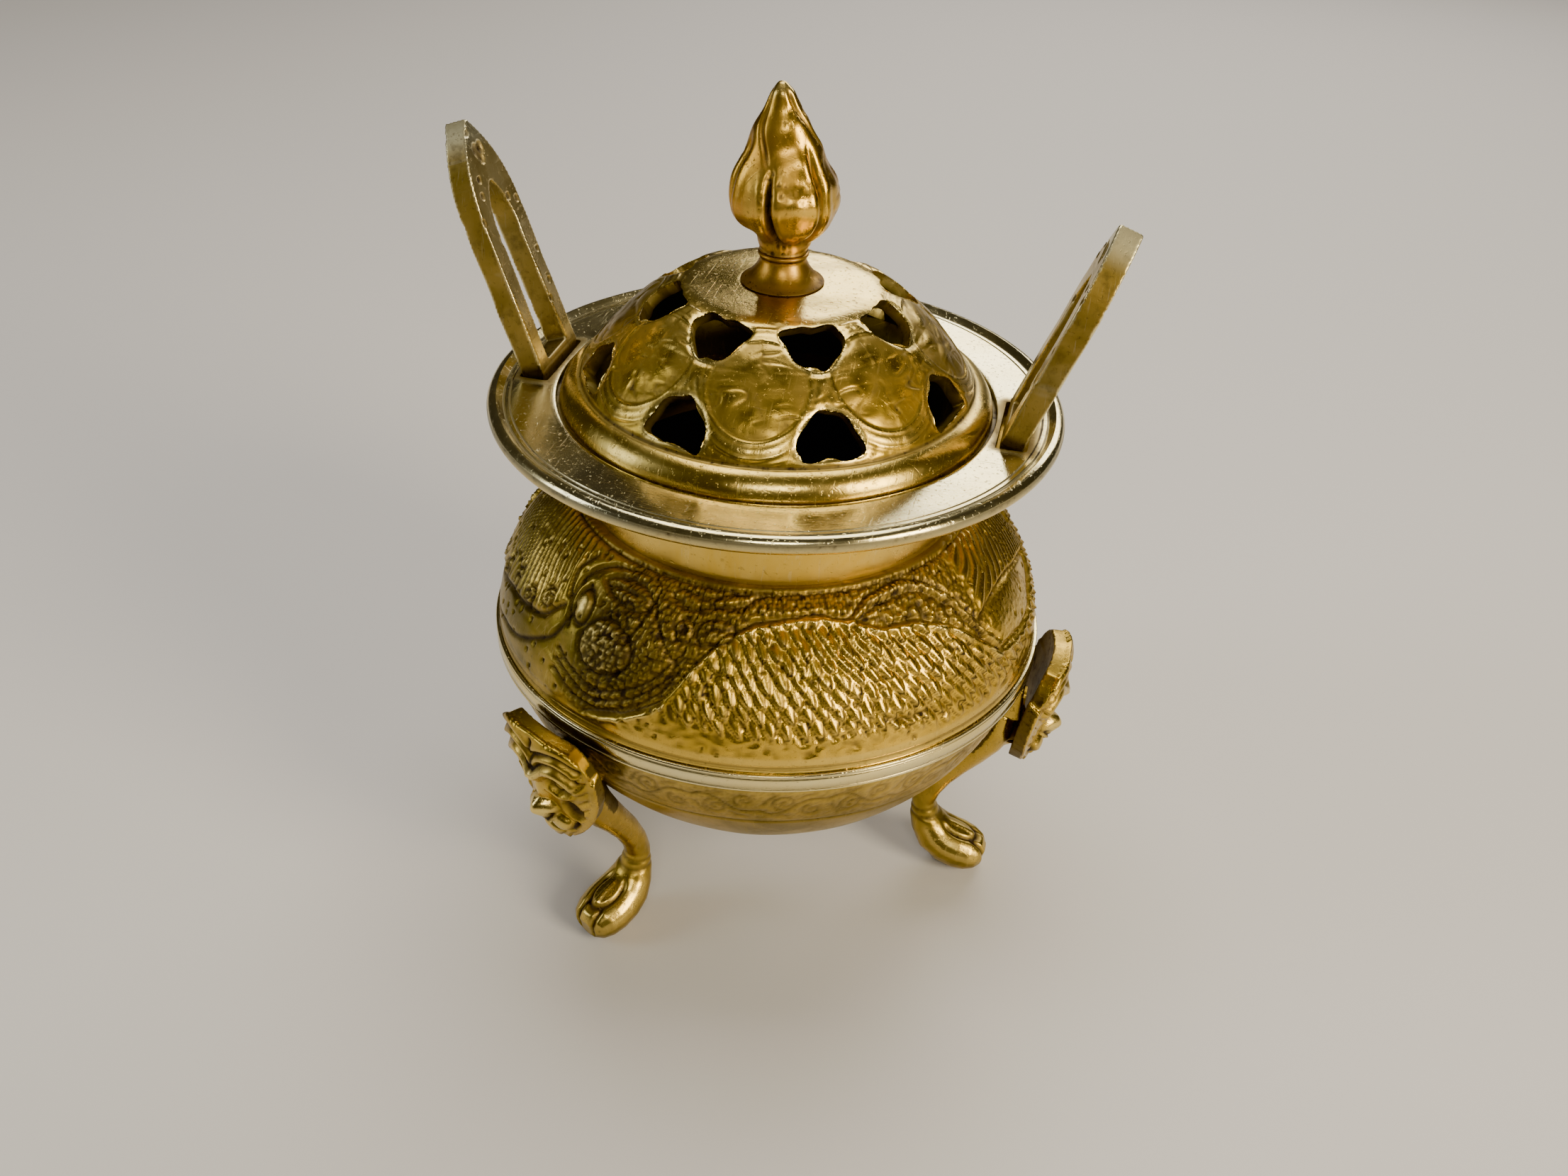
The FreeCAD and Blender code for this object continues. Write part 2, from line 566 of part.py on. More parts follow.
def make_handle_anchor(name, direction):
    """A small plate soldered under the rim, which the handle's tenon is
    hammered over."""
    body = new_body(name)
    base = {"Base.z": "%s - sizes.anchor_thickness" % UNDER, "Rotation.Angle": "0"}
    plate_sketch = draw_loop(new_sketch(body, "anchor_outline", "XY_Plane", base), [
        ("sizes.handle_circle - sizes.anchor_depth / 2", "-(sizes.anchor_width / 2)"),
        ("sizes.handle_circle + sizes.anchor_depth / 2", "-(sizes.anchor_width / 2)"),
        ("sizes.handle_circle + sizes.anchor_depth / 2", "sizes.anchor_width / 2"),
        ("sizes.handle_circle - sizes.anchor_depth / 2", "sizes.anchor_width / 2"),
    ])
    extrude(body, plate_sketch, "anchor_plate", "sizes.anchor_thickness")
    before = body.Shape.Volume
    side = "(sizes.tenon_thickness / 2 + sizes.running_gap)"
    end = "(sizes.tenon_width / 2 + sizes.running_gap)"
    mortise_sketch = draw_loop(new_sketch(body, "mortise_outline", "XY_Plane", base), [
        ("sizes.handle_circle - " + side, "-" + end),
        ("sizes.handle_circle + " + side, "-" + end),
        ("sizes.handle_circle + " + side, end),
        ("sizes.handle_circle - " + side, end),
    ])
    extrude(body, mortise_sketch, "mortise", "sizes.anchor_thickness", "Pocket", backwards=True)
    check_cut(body, before, "mortise")
    place(body, direction)


def make_lid():
    body = new_body("lid_dome")
    skirt_top = "(%s + sizes.skirt_height)" % SEAT
    dome_foot = "(%s - sizes.skirt_width)" % LID_EDGE
    haunch_foot = "(%s - sizes.haunch_fall)" % CROWN
    wall = "sizes.lid_wall"
    shell = draw_loop(new_sketch(body, "dome_profile", "XZ_Plane"), [
        ("0", CROWN),
        ("sizes.collar_radius", CROWN),
        ("sizes.crown_radius", CROWN + " - sizes.crown_fall", "sizes.haunch_curve", -1),
        ("sizes.haunch_radius", haunch_foot, "sizes.flank_curve", -1),
        (dome_foot, skirt_top, "sizes.skirt_curve", -1),
        (LID_EDGE, SEAT),
        (SPIGOT, SEAT),
        (SPIGOT, SEAT + " - sizes.spigot_depth"),
        (SPIGOT + " - sizes.spigot_wall", SEAT + " - sizes.spigot_depth"),
        (SPIGOT + " - sizes.spigot_wall", SEAT + " + sizes.spigot_wall"),
        (dome_foot + " - %s * 1.4" % wall, skirt_top + " - %s / 4" % wall, "sizes.flank_curve - " + wall, 1),
        ("sizes.haunch_radius - " + wall, haunch_foot + " - %s / 2" % wall, "sizes.haunch_curve - " + wall, 1),
        ("sizes.crown_radius - sizes.crown_fall", CROWN_INSIDE + " - sizes.crown_fall"),
        ("sizes.collar_radius + sizes.crown_fall", CROWN_INSIDE),
        ("0", CROWN_INSIDE),
    ])
    revolve(body, shell, "dome_shell")
    reach = "sizes.hole_reach"
    upper_sketch = draw_loop(
        new_sketch(body, "upper_hole_outline", "YZ_Plane", {
            "Base.y": CROWN + " - sizes.haunch_fall / 3",
            "Base.z": "sizes.upper_hole_place",
            "Rotation.Angle": "-(90 - sizes.upper_hole_lean)",
        }), [
            ("0", "-sizes.upper_hole"),
            ("sizes.upper_hole", "-(sizes.upper_hole / 4)"),
            ("sizes.upper_hole", "sizes.upper_hole * 3 / 4"),
            ("-sizes.upper_hole", "sizes.upper_hole * 3 / 4"),
            ("-sizes.upper_hole", "-(sizes.upper_hole / 4)"),
        ])
    before = body.Shape.Volume
    upper = extrude(body, upper_sketch, "upper_hole", reach, "Pocket", both_sides=True)
    check_cut(body, before, "upper_hole")
    lower_sketch = draw_loop(
        new_sketch(body, "lower_hole_outline", "YZ_Plane", {
            "Base.y": SEAT + " + sizes.lower_hole_rise",
            "Base.z": "sizes.lower_hole_place",
            "Rotation.Angle": "-(90 - sizes.lower_hole_lean)",
        }), [
            ("-sizes.lower_hole", "-(sizes.lower_hole * 2 / 3)"),
            ("sizes.lower_hole", "-(sizes.lower_hole * 2 / 3)"),
            ("sizes.lower_hole * 3 / 4", "sizes.lower_hole / 5"),
            ("0", "sizes.lower_hole * 4 / 5"),
            ("-(sizes.lower_hole * 3 / 4)", "sizes.lower_hole / 5"),
        ])
    before = body.Shape.Volume
    lower = extrude(body, lower_sketch, "lower_hole", reach, "Pocket", both_sides=True)
    check_cut(body, before, "lower_hole")
    before = body.Shape.Volume
    bore_sketch = draw_circle(new_sketch(body, "bore_circle", "XY_Plane"), "0", BORE)
    extrude(body, bore_sketch, "stud_bore", CROWN + " + sizes.lid_wall", "Pocket", backwards=True)
    check_cut(body, before, "stud_bore")
    repeat_round(body, shell, [upper, lower], "hole_columns", "sizes.hole_count")
    place(body, sizes.first_hole)


def make_finial_collar():
    body = new_body("finial_collar")
    profile = draw_loop(new_sketch(body, "collar_profile", "XZ_Plane"), [
        (BORE, CROWN),
        ("sizes.collar_radius", CROWN),
        ("sizes.collar_radius", CROWN + " + sizes.collar_edge", "sizes.collar_curve", -1),
        ("sizes.finial_neck", COLLAR_TOP),
        (BORE, COLLAR_TOP),
    ])
    revolve(body, profile, "collar_turned")


def make_finial_bud():
    body = new_body("finial_bud")
    grip = "(%s + sizes.stud_grip)" % COLLAR_TOP
    profile = draw_loop(new_sketch(body, "bud_profile", "XZ_Plane"), [
        (BORE, COLLAR_TOP),
        ("sizes.finial_neck", COLLAR_TOP),
        ("sizes.bud_radius", COLLAR_TOP + " + sizes.bud_belly", "sizes.bud_radius * 1.6", 1),
        ("sizes.bud_shoulder", COLLAR_TOP + " + sizes.bud_shoulder_rise"),
        ("0", COLLAR_TOP + " + sizes.bud_height"),
        ("0", grip),
        (BORE, grip),
    ])
    revolve(body, profile, "bud_turned")


def make_finial_stud():
    stud = doc.addObject("Part::Cylinder", "finial_stud")
    stud.Label = "finial_stud"
    tail = "(%s - sizes.washer_thickness - sizes.nut_height - sizes.stud_tail)" % CROWN_INSIDE
    stud.setExpression("Radius", "sizes.stud_radius")
    stud.setExpression("Height", "%s + sizes.stud_grip - sizes.running_gap - %s" % (COLLAR_TOP, tail))
    stud.setExpression("Placement.Base.z", tail)


def make_bored_piece(name, outside, bore):
    piece = doc.addObject("Part::Cut", name)
    piece.Label = name
    piece.Base = outside
    piece.Tool = bore
    return piece


def make_bore(name, low):
    bore = doc.addObject("Part::Cylinder", name)
    bore.setExpression("Radius", BORE)
    bore.setExpression("Height", "sizes.dome_height")
    bore.setExpression("Placement.Base.z", "%s - sizes.dome_height / 2" % low)
    return bore


def make_finial_washer():
    low = "(%s - sizes.washer_thickness)" % CROWN_INSIDE
    disc = doc.addObject("Part::Cylinder", "washer_disc")
    disc.setExpression("Radius", "sizes.washer_radius")
    disc.setExpression("Height", "sizes.washer_thickness")
    disc.setExpression("Placement.Base.z", low)
    make_bored_piece("finial_washer", disc, make_bore("washer_bore", low))


def make_finial_nut():
    low = "(%s - sizes.washer_thickness - sizes.nut_height)" % CROWN_INSIDE
    prism = doc.addObject("Part::Prism", "nut_prism")
    prism.Polygon = 6
    prism.setExpression("Circumradius", "sizes.nut_flats / 2 / cos(30)")
    prism.setExpression("Height", "sizes.nut_height")
    prism.setExpression("Placement.Base.z", low)
    make_bored_piece("finial_nut", prism, make_bore("nut_bore", low))


legs = {"right": 0.0, "rear": TURN / sizes.leg_count, "left": 2 * TURN / sizes.leg_count}
handles = {"right": 0.0, "left": TURN / sizes.handle_count}

make_vessel_lower()
make_vessel_shoulder()
make_neck_rim()
make_belly_band()
for side, direction in legs.items():
    make_leg("leg_" + side, direction)
    make_leg_washer("leg_washer_" + side, direction)
    make_leg_screw("leg_screw_" + side, direction)
for side, direction in handles.items():
    make_handle("handle_" + side, direction)
    make_handle_anchor("handle_anchor_" + side, direction)
make_lid()
make_finial_collar()
make_finial_bud()
make_finial_stud()
make_finial_washer()
make_finial_nut()
doc.recompute()

for item in doc.Objects:
    if "Invalid" in item.State or "Error" in item.State:
        raise RuntimeError(item.Name + " did not build: " + str(item.State))

pieces = ["vessel_lower", "vessel_shoulder", "neck_rim", "belly_band"]
pieces += [kind + side for kind in ("leg_", "leg_washer_", "leg_screw_") for side in legs]
pieces += [kind + side for kind in ("handle_", "handle_anchor_") for side in handles]
pieces += ["lid_dome", "finial_collar", "finial_bud", "finial_stud", "finial_washer", "finial_nut"]

os.makedirs("parts", exist_ok=True)
for name in pieces:
    shape = doc.getObject(name).Shape
    if shape.isNull() or not shape.isValid():
        raise RuntimeError(name + " is not a valid solid")
    if len(shape.Solids) != 1:
        raise RuntimeError("%s has %d solids" % (name, len(shape.Solids)))
    shape.exportStep("parts/%s.step" % name)
    print(name, round(shape.Volume), [round(edge, 1) for edge in (
        shape.BoundBox.XMin, shape.BoundBox.XMax, shape.BoundBox.YMin,
        shape.BoundBox.YMax, shape.BoundBox.ZMin, shape.BoundBox.ZMax)])
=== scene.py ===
"""Models a three-legged brass censer with a pierced lid around its fixed working parts."""
import math

import bmesh
import bpy
import numpy as np
from mathutils import Matrix, Vector


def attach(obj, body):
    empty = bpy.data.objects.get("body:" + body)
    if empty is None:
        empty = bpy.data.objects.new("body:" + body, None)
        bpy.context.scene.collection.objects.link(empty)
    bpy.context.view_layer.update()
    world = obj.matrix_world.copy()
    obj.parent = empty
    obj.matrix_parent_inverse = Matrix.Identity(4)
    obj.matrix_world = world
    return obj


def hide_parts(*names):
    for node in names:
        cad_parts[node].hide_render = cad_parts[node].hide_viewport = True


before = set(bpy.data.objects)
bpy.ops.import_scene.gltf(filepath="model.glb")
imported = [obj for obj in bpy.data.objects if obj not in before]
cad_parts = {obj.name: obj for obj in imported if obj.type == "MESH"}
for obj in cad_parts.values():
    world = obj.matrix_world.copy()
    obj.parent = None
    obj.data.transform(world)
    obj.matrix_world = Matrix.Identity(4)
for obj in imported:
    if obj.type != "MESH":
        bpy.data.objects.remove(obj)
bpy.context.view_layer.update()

bl_info = {
    "name": "Thurible Censer",
    "version": (1, 0, 0),
    "blender": (4, 5, 0),
    "location": "View3D > Sidebar > Censer",
    "description": "Models a three-legged brass censer with a pierced lid",
    "category": "Add Mesh",
}

MM = 0.001
# The belly's front is the side that the censer is looked at from, in degrees about its axis.
FRONT = -77.5
LEG_TURNS = {"right": 0.0, "rear": 120.0, "left": 240.0}
HANDLE_TURNS = {"right": 0.0, "left": 180.0}


def size(name, description, millimetres):
    """A length that a user may change."""
    return bpy.props.FloatProperty(
        name=name, description=description, default=millimetres * MM, min=0.0, unit="LENGTH", precision=5
    )


def colour(name, description, default):
    """A colour that a user may change."""
    return bpy.props.FloatVectorProperty(
        name=name, description=description, default=default, size=3, min=0.0, max=1.0, subtype="COLOR"
    )


class VesselSizes(bpy.types.PropertyGroup):
    belly_radius: size("Belly radius", "Widest outside radius of the belly", 49.6)
    belly_height: size("Belly height", "Height of the belly's widest plane", 54.5)
    wall: size("Wall", "Wall of the belly and neck", 2.6)
    bowl_bottom: size("Bowl bottom", "Lowest point of the bowl, outside", 18.7)
    bowl_flat: size("Bowl flat", "Radius of the flat under the bowl", 6.0)
    bowl_curve: size("Bowl curve", "Radius of the lower bowl's outside curve", 44.0)
    shoulder_curve: size("Shoulder curve", "Radius of the shoulder's outside curve", 31.0)
    shoulder_top: size("Shoulder top", "Height where the cast relief ends", 81.5)
    shoulder_radius: size("Shoulder radius", "Radius of the belly where the relief ends", 34.4)
    neck_radius: size("Neck radius", "Outside radius of the neck", 33.0)
    throat_radius: size("Throat radius", "Inside radius of the neck", 30.4)
    band_bottom: size("Band bottom", "Lower edge of the plain band", 52.8)
    band_top: size("Band top", "Upper edge of the plain band", 56.2)
    band_proud: size("Band proud", "How far the plain band stands out", 0.6)
    relief: size("Relief", "Depth of the chased relief", 1.05)


class RimSizes(bpy.types.PropertyGroup):
    radius: size("Rim radius", "Outside radius of the rim", 49.0)
    top: size("Rim top", "Height of the lip's top", 100.1)
    flat: size("Rim flat", "Height of the rim's flat", 99.3)
    under: size("Rim underside", "Height of the rim's underside", 96.9)
    seat: size("Lid seat", "Height of the seat that the lid stands on", 98.2)
    mouth_radius: size("Mouth radius", "Radius of the recess that the lid sits in", 37.5)
    cove: size("Cove", "Radius of the hollow curve under the rim", 5.0)


class LidSizes(bpy.types.PropertyGroup):
    edge_radius: size("Lid edge", "Outside radius of the lid's foot", 36.9)
    dome_foot: size("Dome foot", "Radius where the skirt meets the dome", 33.6)
    dome_foot_height: size("Dome foot height", "Height where the skirt meets the dome", 102.9)
    haunch_radius: size("Haunch radius", "Radius where the haunch meets the flank", 24.0)
    haunch_height: size("Haunch height", "Height where the haunch meets the flank", 114.1)
    crown_radius: size("Crown radius", "Radius of the nearly flat crown", 14.0)
    crown: size("Crown height", "Height of the lid's crown", 119.4)
    wall: size("Lid wall", "Wall of the lid", 1.9)
    relief: size("Lid relief", "Height of the lid's ribbons", 0.55)
    first_hole: bpy.props.FloatProperty(
        name="First hole", description="Direction of the first column of holes, in degrees", default=-61.9
    )


class FinialSizes(bpy.types.PropertyGroup):
    collar_radius: size("Collar radius", "Radius of the collar's foot", 7.0)
    joint_radius: size("Joint radius", "Radius where the collar and the bud meet", 3.9)
    joint_height: size("Joint height", "Height where the collar and the bud meet", 124.8)
    tip_height: size("Tip height", "Height of the finial's tip", 151.5)


class HandleSizes(bpy.types.PropertyGroup):
    circle: size("Handle circle", "Distance of the handles from the axis", 41.0)
    width: size("Handle width", "Width of a handle", 16.0)
    bar: size("Bar", "Width of each bar of the loop", 4.0)
    thickness: size("Thickness", "Thickness of the loop", 4.0)
    right_length: size("Right handle", "Length of the right loop above the rim", 38.0)
    left_length: size("Left handle", "Length of the left loop above the rim", 42.5)
    slot_low: size("Slot foot", "Where the slot begins, above the rim", 1.6)
    straight_share: bpy.props.FloatProperty(
        name="Straight share", description="Straight share of a loop's length", default=0.64, subtype="FACTOR"
    )
    slot_share: bpy.props.FloatProperty(
        name="Slot share", description="The slot's share of a loop's length", default=0.72, subtype="FACTOR"
    )
    lean: bpy.props.FloatProperty(
        name="Lean", description="Outward lean of the loop", default=math.radians(20.0), subtype="ANGLE"
    )


class LegSizes(bpy.types.PropertyGroup):
    mask_top: size("Mask top", "Height of the mask's top", 55.8)
    mask_length: size("Mask length", "Height of a mask", 23.5)
    mask_width: size("Mask width", "Width of a mask", 21.0)
    mask_back: size("Mask back", "Distance of the mask's back from the axis, at its top", 50.55)
    mask_slope: size("Mask slope", "How far the mask's foot lies inside its top", 4.8)
    mask_thickness: size("Mask thickness", "Thickness of a mask's plate", 2.9)


class Finishes(bpy.types.PropertyGroup):
    gold: colour("Gold brass", "Bright cast brass", (0.72, 0.455, 0.045))
    # This tint and the next stand for wear, and also for painted highlights on the belly's plain margin, the
    # lid's crown and upper dome, the rim's top and the feet's upper faces.
    pale: colour("Pale brass", "Rubbed and polished brass", (0.80, 0.62, 0.20))
    silver: colour("Silvered brass", "Brass worn to a silvery white", (0.82, 0.76, 0.46))
    # Painted shade colour: this tint is laid where the shade mask paints shade, and also in mottled tarnish.
    olive_tarnish_shade: colour("Olive patina", "Dull brass out of the light", (0.17, 0.125, 0.016))
    # This tint is patina in the hollows, and also painted shade inside the vessel and the lid, in the gap
    # under the lid's edge and behind the masks.
    brown_patina_shade: colour("Brown patina", "Dark grime in the hollows", (0.028, 0.015, 0.004))
    amber: colour("Amber bronze", "Warm bronze of the finial's dull parts", (0.50, 0.26, 0.03))
    floor: colour("Floor", "Plain pale floor", (0.72, 0.705, 0.69))


GROUPS = {
    "censer_vessel": VesselSizes,
    "censer_rim": RimSizes,
    "censer_lid": LidSizes,
    "censer_finial": FinialSizes,
    "censer_handle": HandleSizes,
    "censer_leg": LegSizes,
    "censer_finish": Finishes,
}


# Turning and modelling


def put_down_everything():
    """Leaves edit mode and deselects every object."""
    if bpy.context.object and bpy.context.object.mode != "OBJECT":
        bpy.ops.object.mode_set(mode="OBJECT")
    bpy.ops.object.select_all(action="DESELECT")


def take_up(piece):
    """Makes one piece the only one selected and the active one."""
    put_down_everything()
    piece.select_set(True)
    bpy.context.view_layer.objects.active = piece


def start_at(name, place):
    """Starts a piece as a single corner at its place, in edit mode."""
    put_down_everything()
    bpy.ops.mesh.primitive_plane_add(size=MM)
    piece = bpy.context.object
    piece.name = piece.data.name = name
    bpy.ops.object.mode_set(mode="EDIT")
    bpy.ops.mesh.select_mode(type="VERT")
    bpy.ops.mesh.select_all(action="SELECT")
    bpy.ops.mesh.merge(type="CENTER")
    bpy.ops.transform.translate(value=tuple(place))
    return piece


def draw_on(corners):
    """Extrudes the drawn line from corner to corner."""
    for start, end in zip(corners, corners[1:]):
        bpy.ops.mesh.extrude_region_move(TRANSFORM_OT_translate={"value": tuple(np.subtract(end, start))})


def clean_up(threshold=3e-6):
    """Merges doubled corners and turns all faces outwards."""
    bpy.ops.mesh.select_all(action="SELECT")
    bpy.ops.mesh.remove_doubles(threshold=threshold)
    bpy.ops.mesh.normals_make_consistent(inside=False)


def turned(name, outline, steps):
    """Draws an outline of (radius, height) pairs and turns it on the lathe about the upright axis."""
    corners = [(radius, 0.0, height) for radius, height in outline]
    piece = start_at(name, corners[0])
    draw_on(corners)
    bpy.ops.object.mode_set(mode="OBJECT")
    modify(
        piece, "SCREW", axis="Z", angle=math.tau, steps=steps, render_steps=steps,
        use_merge_vertices=True, merge_threshold=3e-6,
    )
    bpy.ops.object.mode_set(mode="EDIT")
    clean_up()
    bpy.ops.object.mode_set(mode="OBJECT")
    return piece


def straight(start, end, count):
    """Evenly spaced points from start up to, and without, end."""
    return [tuple(np.add(start, np.subtract(end, start) * k / count)) for k in range(count)]


def curved(start, end, radius, count, side=1):
    """Points on an arc of that radius from start up to, and without, end; side picks its bulge."""
    start, end = np.array(start, float), np.array(end, float)
    chord = end - start
    half = np.hypot(*chord) / 2
    rise = math.sqrt(max(radius * radius - half * half, 0.0))
    centre = (start + end) / 2 + side * rise * np.array([-chord[1], chord[0]]) / (2 * half)
    first = math.atan2(*(start - centre)[::-1])
    last = math.atan2(*(end - centre)[::-1])
    sweep = (last - first + math.pi) % math.tau - math.pi
    return [
        (centre[0] + radius * math.cos(first + sweep * k / count),
         centre[1] + radius * math.sin(first + sweep * k / count))
        for k in range(count)
    ]


def modify(piece, kind, **settings):
    """Adds one modifier, sets it and applies it."""
    take_up(piece)
    modifier = piece.modifiers.new(kind.title(), kind)
    for name, value in settings.items():
        setattr(modifier, name, value)
    bpy.ops.object.modifier_apply(modifier=modifier.name)


def cut(piece, cutter):
    """Cuts one closed solid out of another and throws the cutter away."""
    modify(piece, "BOOLEAN", operation="DIFFERENCE", object=cutter, solver="MANIFOLD")
    take_up(cutter)
    bpy.ops.object.delete()


def copy_turned(piece, name, degrees):
    """Copies a piece, with its own mesh, and turns the copy about the upright axis."""
    take_up(piece)
    bpy.ops.object.duplicate(linked=False)
    copy = bpy.context.object
    copy.name = copy.data.name = name
    turn_mesh(copy, degrees)
    return copy


def turn_mesh(piece, degrees):
    """Turns a piece's mesh about the upright axis."""
    take_up(piece)
    piece.rotation_euler = (0, 0, math.radians(degrees))
    bpy.ops.object.transform_apply(location=True, rotation=True, scale=True)


def corners_of(piece):
    """Every corner of a piece, one row each."""
    places = np.empty(len(piece.data.vertices) * 3, np.float32)
    piece.data.vertices.foreach_get("co", places)
    return places.reshape(-1, 3).astype(float)


def normals_of(piece):
    """The outward direction at every corner of a piece."""
    directions = np.empty(len(piece.data.vertices) * 3, np.float32)
    piece.data.vertices.foreach_get("normal", directions)
    return directions.reshape(-1, 3).astype(float)


def set_corners(piece, places):
    """Moves a piece's corners to these places."""
    piece.data.vertices.foreach_set("co", places.astype(np.float32).ravel())
    piece.data.update()


def push_out(piece, heights):
    """Raises or sinks each corner along its outward direction."""
    set_corners(piece, corners_of(piece) + normals_of(piece) * np.asarray(heights)[:, None])


def mark(piece, name, values):
    """Keeps a value at each corner, for the finish to read."""
    layer = piece.data.attributes.get(name) or piece.data.attributes.new(name, "FLOAT", "POINT")
    layer.data.foreach_set("value", np.asarray(values, np.float32))


def hand_over(piece, body, nodes, finish, sharp=None):
    """Smooths a finished piece, gives it its finish and puts it in place of its plain nodes."""
    take_up(piece)
    if sharp is None:
        bpy.ops.object.shade_smooth()
    else:
        bpy.ops.object.shade_smooth_by_angle(angle=math.radians(sharp))
    piece.data.materials.clear()
    piece.data.materials.append(finish)
    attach(piece, body)
    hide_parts(*nodes)


# Chasing and casting, as heights over a surface


def fade(low, high, value):
    """Rises smoothly from 0 at low to 1 at high."""
    share = np.clip((np.asarray(value, float) - low) / (high - low), 0, 1)
    return share * share * (3 - 2 * share)


def chance(x, y, seed):
    """A repeatable scattered number from 0 to 1 for each pair of whole numbers."""
    mixed = np.sin(x * 127.1 + y * 311.7 + seed * 74.7) * 43758.5453
    return mixed - np.floor(mixed)


def waver(x, y, scale, seed):
    """Soft unevenness from -1 to 1, with about one swell to each scale."""
    total = np.zeros_like(x)
    for k in range(4):
        angle, turn = 2.4 * k + seed, 1.7 * k + 3 * seed
        along = x * math.cos(angle) + y * math.sin(angle)
        total += np.sin(along * math.tau / (scale * (1 + 0.37 * k)) + turn)
    return total / 4


def grains(x, y, pitch, seed=1.0):
    """Rounded punch marks or grains, 1 at the middle of each and 0 between them."""
    column, row = np.floor(x / pitch), np.floor(y / pitch)
    nearest = np.full(np.shape(x), 9.0)
    for i in (-1, 0, 1):
        for j in (-1, 0, 1):
            a, b = column + i, row + j
            px = (a + 0.15 + 0.7 * chance(a, b, seed)) * pitch
            py = (b + 0.15 + 0.7 * chance(b, a, seed + 5)) * pitch
            nearest = np.minimum(nearest, np.hypot(x - px, y - py) / pitch)
    return 1 - fade(0.1, 0.55, nearest)


def drawn_line(corners, spans=7):
    """A smooth line through a few corners."""
    points = np.array(corners, float)
    padded = np.vstack([2 * points[0] - points[1], points, 2 * points[-1] - points[-2]])
    line = []
    for a, b, c, d in zip(padded, padded[1:], padded[2:], padded[3:]):
        for t in np.arange(spans) / spans:
            bend, twist = 2 * a - 5 * b + 4 * c - d, 3 * b - a - 3 * c + d
            line.append(0.5 * (2 * b + (c - a) * t + bend * t**2 + twist * t**3))
    return np.array(line + [points[-1]])


def away_from(x, y, corners, reach):
    """Distance of each place from a smooth drawn line, worked out only within reach of it."""
    line = drawn_line(corners)
    nearest = np.full(np.shape(x), 99.0)
    near = (
        (x > line[:, 0].min() - reach) & (x < line[:, 0].max() + reach)
        & (y > line[:, 1].min() - reach) & (y < line[:, 1].max() + reach)
    )
    px, py, best = x[near], y[near], np.full(near.sum(), 99.0)
    for (ax, ay), (bx, by) in zip(line, line[1:]):
        ux, uy = bx - ax, by - ay
        share = np.clip(((px - ax) * ux + (py - ay) * uy) / max(ux * ux + uy * uy, 1e-9), 0, 1)
        best = np.minimum(best, np.hypot(px - ax - share * ux, py - ay - share * uy))
    nearest[near] = best
    return nearest


def stroke(x, y, corners, width=0.45):
    """A chased line, 1 on the line and 0 beside it."""
    return np.exp(-((away_from(x, y, corners, 4 * width) / width) ** 2))


def lobe(x, y, cx, cy, rx, ry, lean=0.0):
    """A rounded oval boss, 1 at its middle and 0 from its edge outwards."""
    c, s = math.cos(math.radians(lean)), math.sin(math.radians(lean))
    across, along = (x - cx) * c + (y - cy) * s, (y - cy) * c - (x - cx) * s
    return np.sqrt(np.clip(1 - (across / rx) ** 2 - (along / ry) ** 2, 0, 1))


def ring_line(x, y, cx, cy, rx, ry, width=0.45, lean=0.0):
    """A chased oval outline."""
    c, s = math.cos(math.radians(lean)), math.sin(math.radians(lean))
    across, along = (x - cx) * c + (y - cy) * s, (y - cy) * c - (x - cx) * s
    away = (np.hypot(across / rx, along / ry) - 1) * min(rx, ry)
    return np.exp(-((away / width) ** 2))


def scales(x, y, wide, tall):
    """Rows of overlapping drop-shaped scales that point down: heights, and the dark lines between them."""
    height, line = np.zeros_like(x), np.zeros_like(x)
    row = np.floor(y / tall)
    for k in (0, 1):
        level = row + k
        shift = 0.5 * np.mod(level, 2)
        column = np.floor(x / wide - shift)
        odd, other = chance(column, level, 2.0), chance(level, column, 6.0)
        across = (x / wide - shift - column - 0.5) * 2 + 0.35 * (odd - 0.5)
        down = (level + 1) - y / tall + 0.30 * (other - 0.5)
        across = across - 0.30 * (down - 0.8)
        reach = 1.72
        edge = 1 - (np.clip(down - 0.45, 0, None) / (reach - 0.45)) ** 1.7
        inside = (np.abs(across) < edge) & (down < reach)
        rise = 0.10 + (0.75 + 0.35 * odd) * np.clip(down / reach, 0, 1) - 0.55 * across**2
        border = fade(0.42, 0.0, edge - np.abs(across)) * (down < reach)
        height = np.where(inside, rise, height)
        line = np.where(inside, border, line)
    return height, line


def curl(cx, cy, radius, turns, start, side=1):
    """Corners of a small spiral that winds in to its middle."""
    steps = np.linspace(0, 1, int(10 * turns) + 2)
    angle = math.radians(start) + side * math.tau * turns * steps
    reach = radius * (1 - 0.85 * steps)
    return list(zip(cx + reach * np.cos(angle), cy + reach * np.sin(angle)))


# Finishes


class Value:
    """A number, colour or direction that varies over a surface; numbers can be written in sums."""

    def __init__(self, finish, socket):
        self.finish, self.socket = finish, socket

    def sum_of(self, operation, first, second):
        return self.finish.node("ShaderNodeMath", {"operation": operation}, {0: first, 1: second})

    def __add__(self, other):
        return self.sum_of("ADD", self, other)

    __radd__ = __add__

    def __sub__(self, other):
        return self.sum_of("SUBTRACT", self, other)

    def __rsub__(self, other):
        return self.sum_of("SUBTRACT", other, self)

    def __mul__(self, other):
        return self.sum_of("MULTIPLY", self, other)

    __rmul__ = __mul__


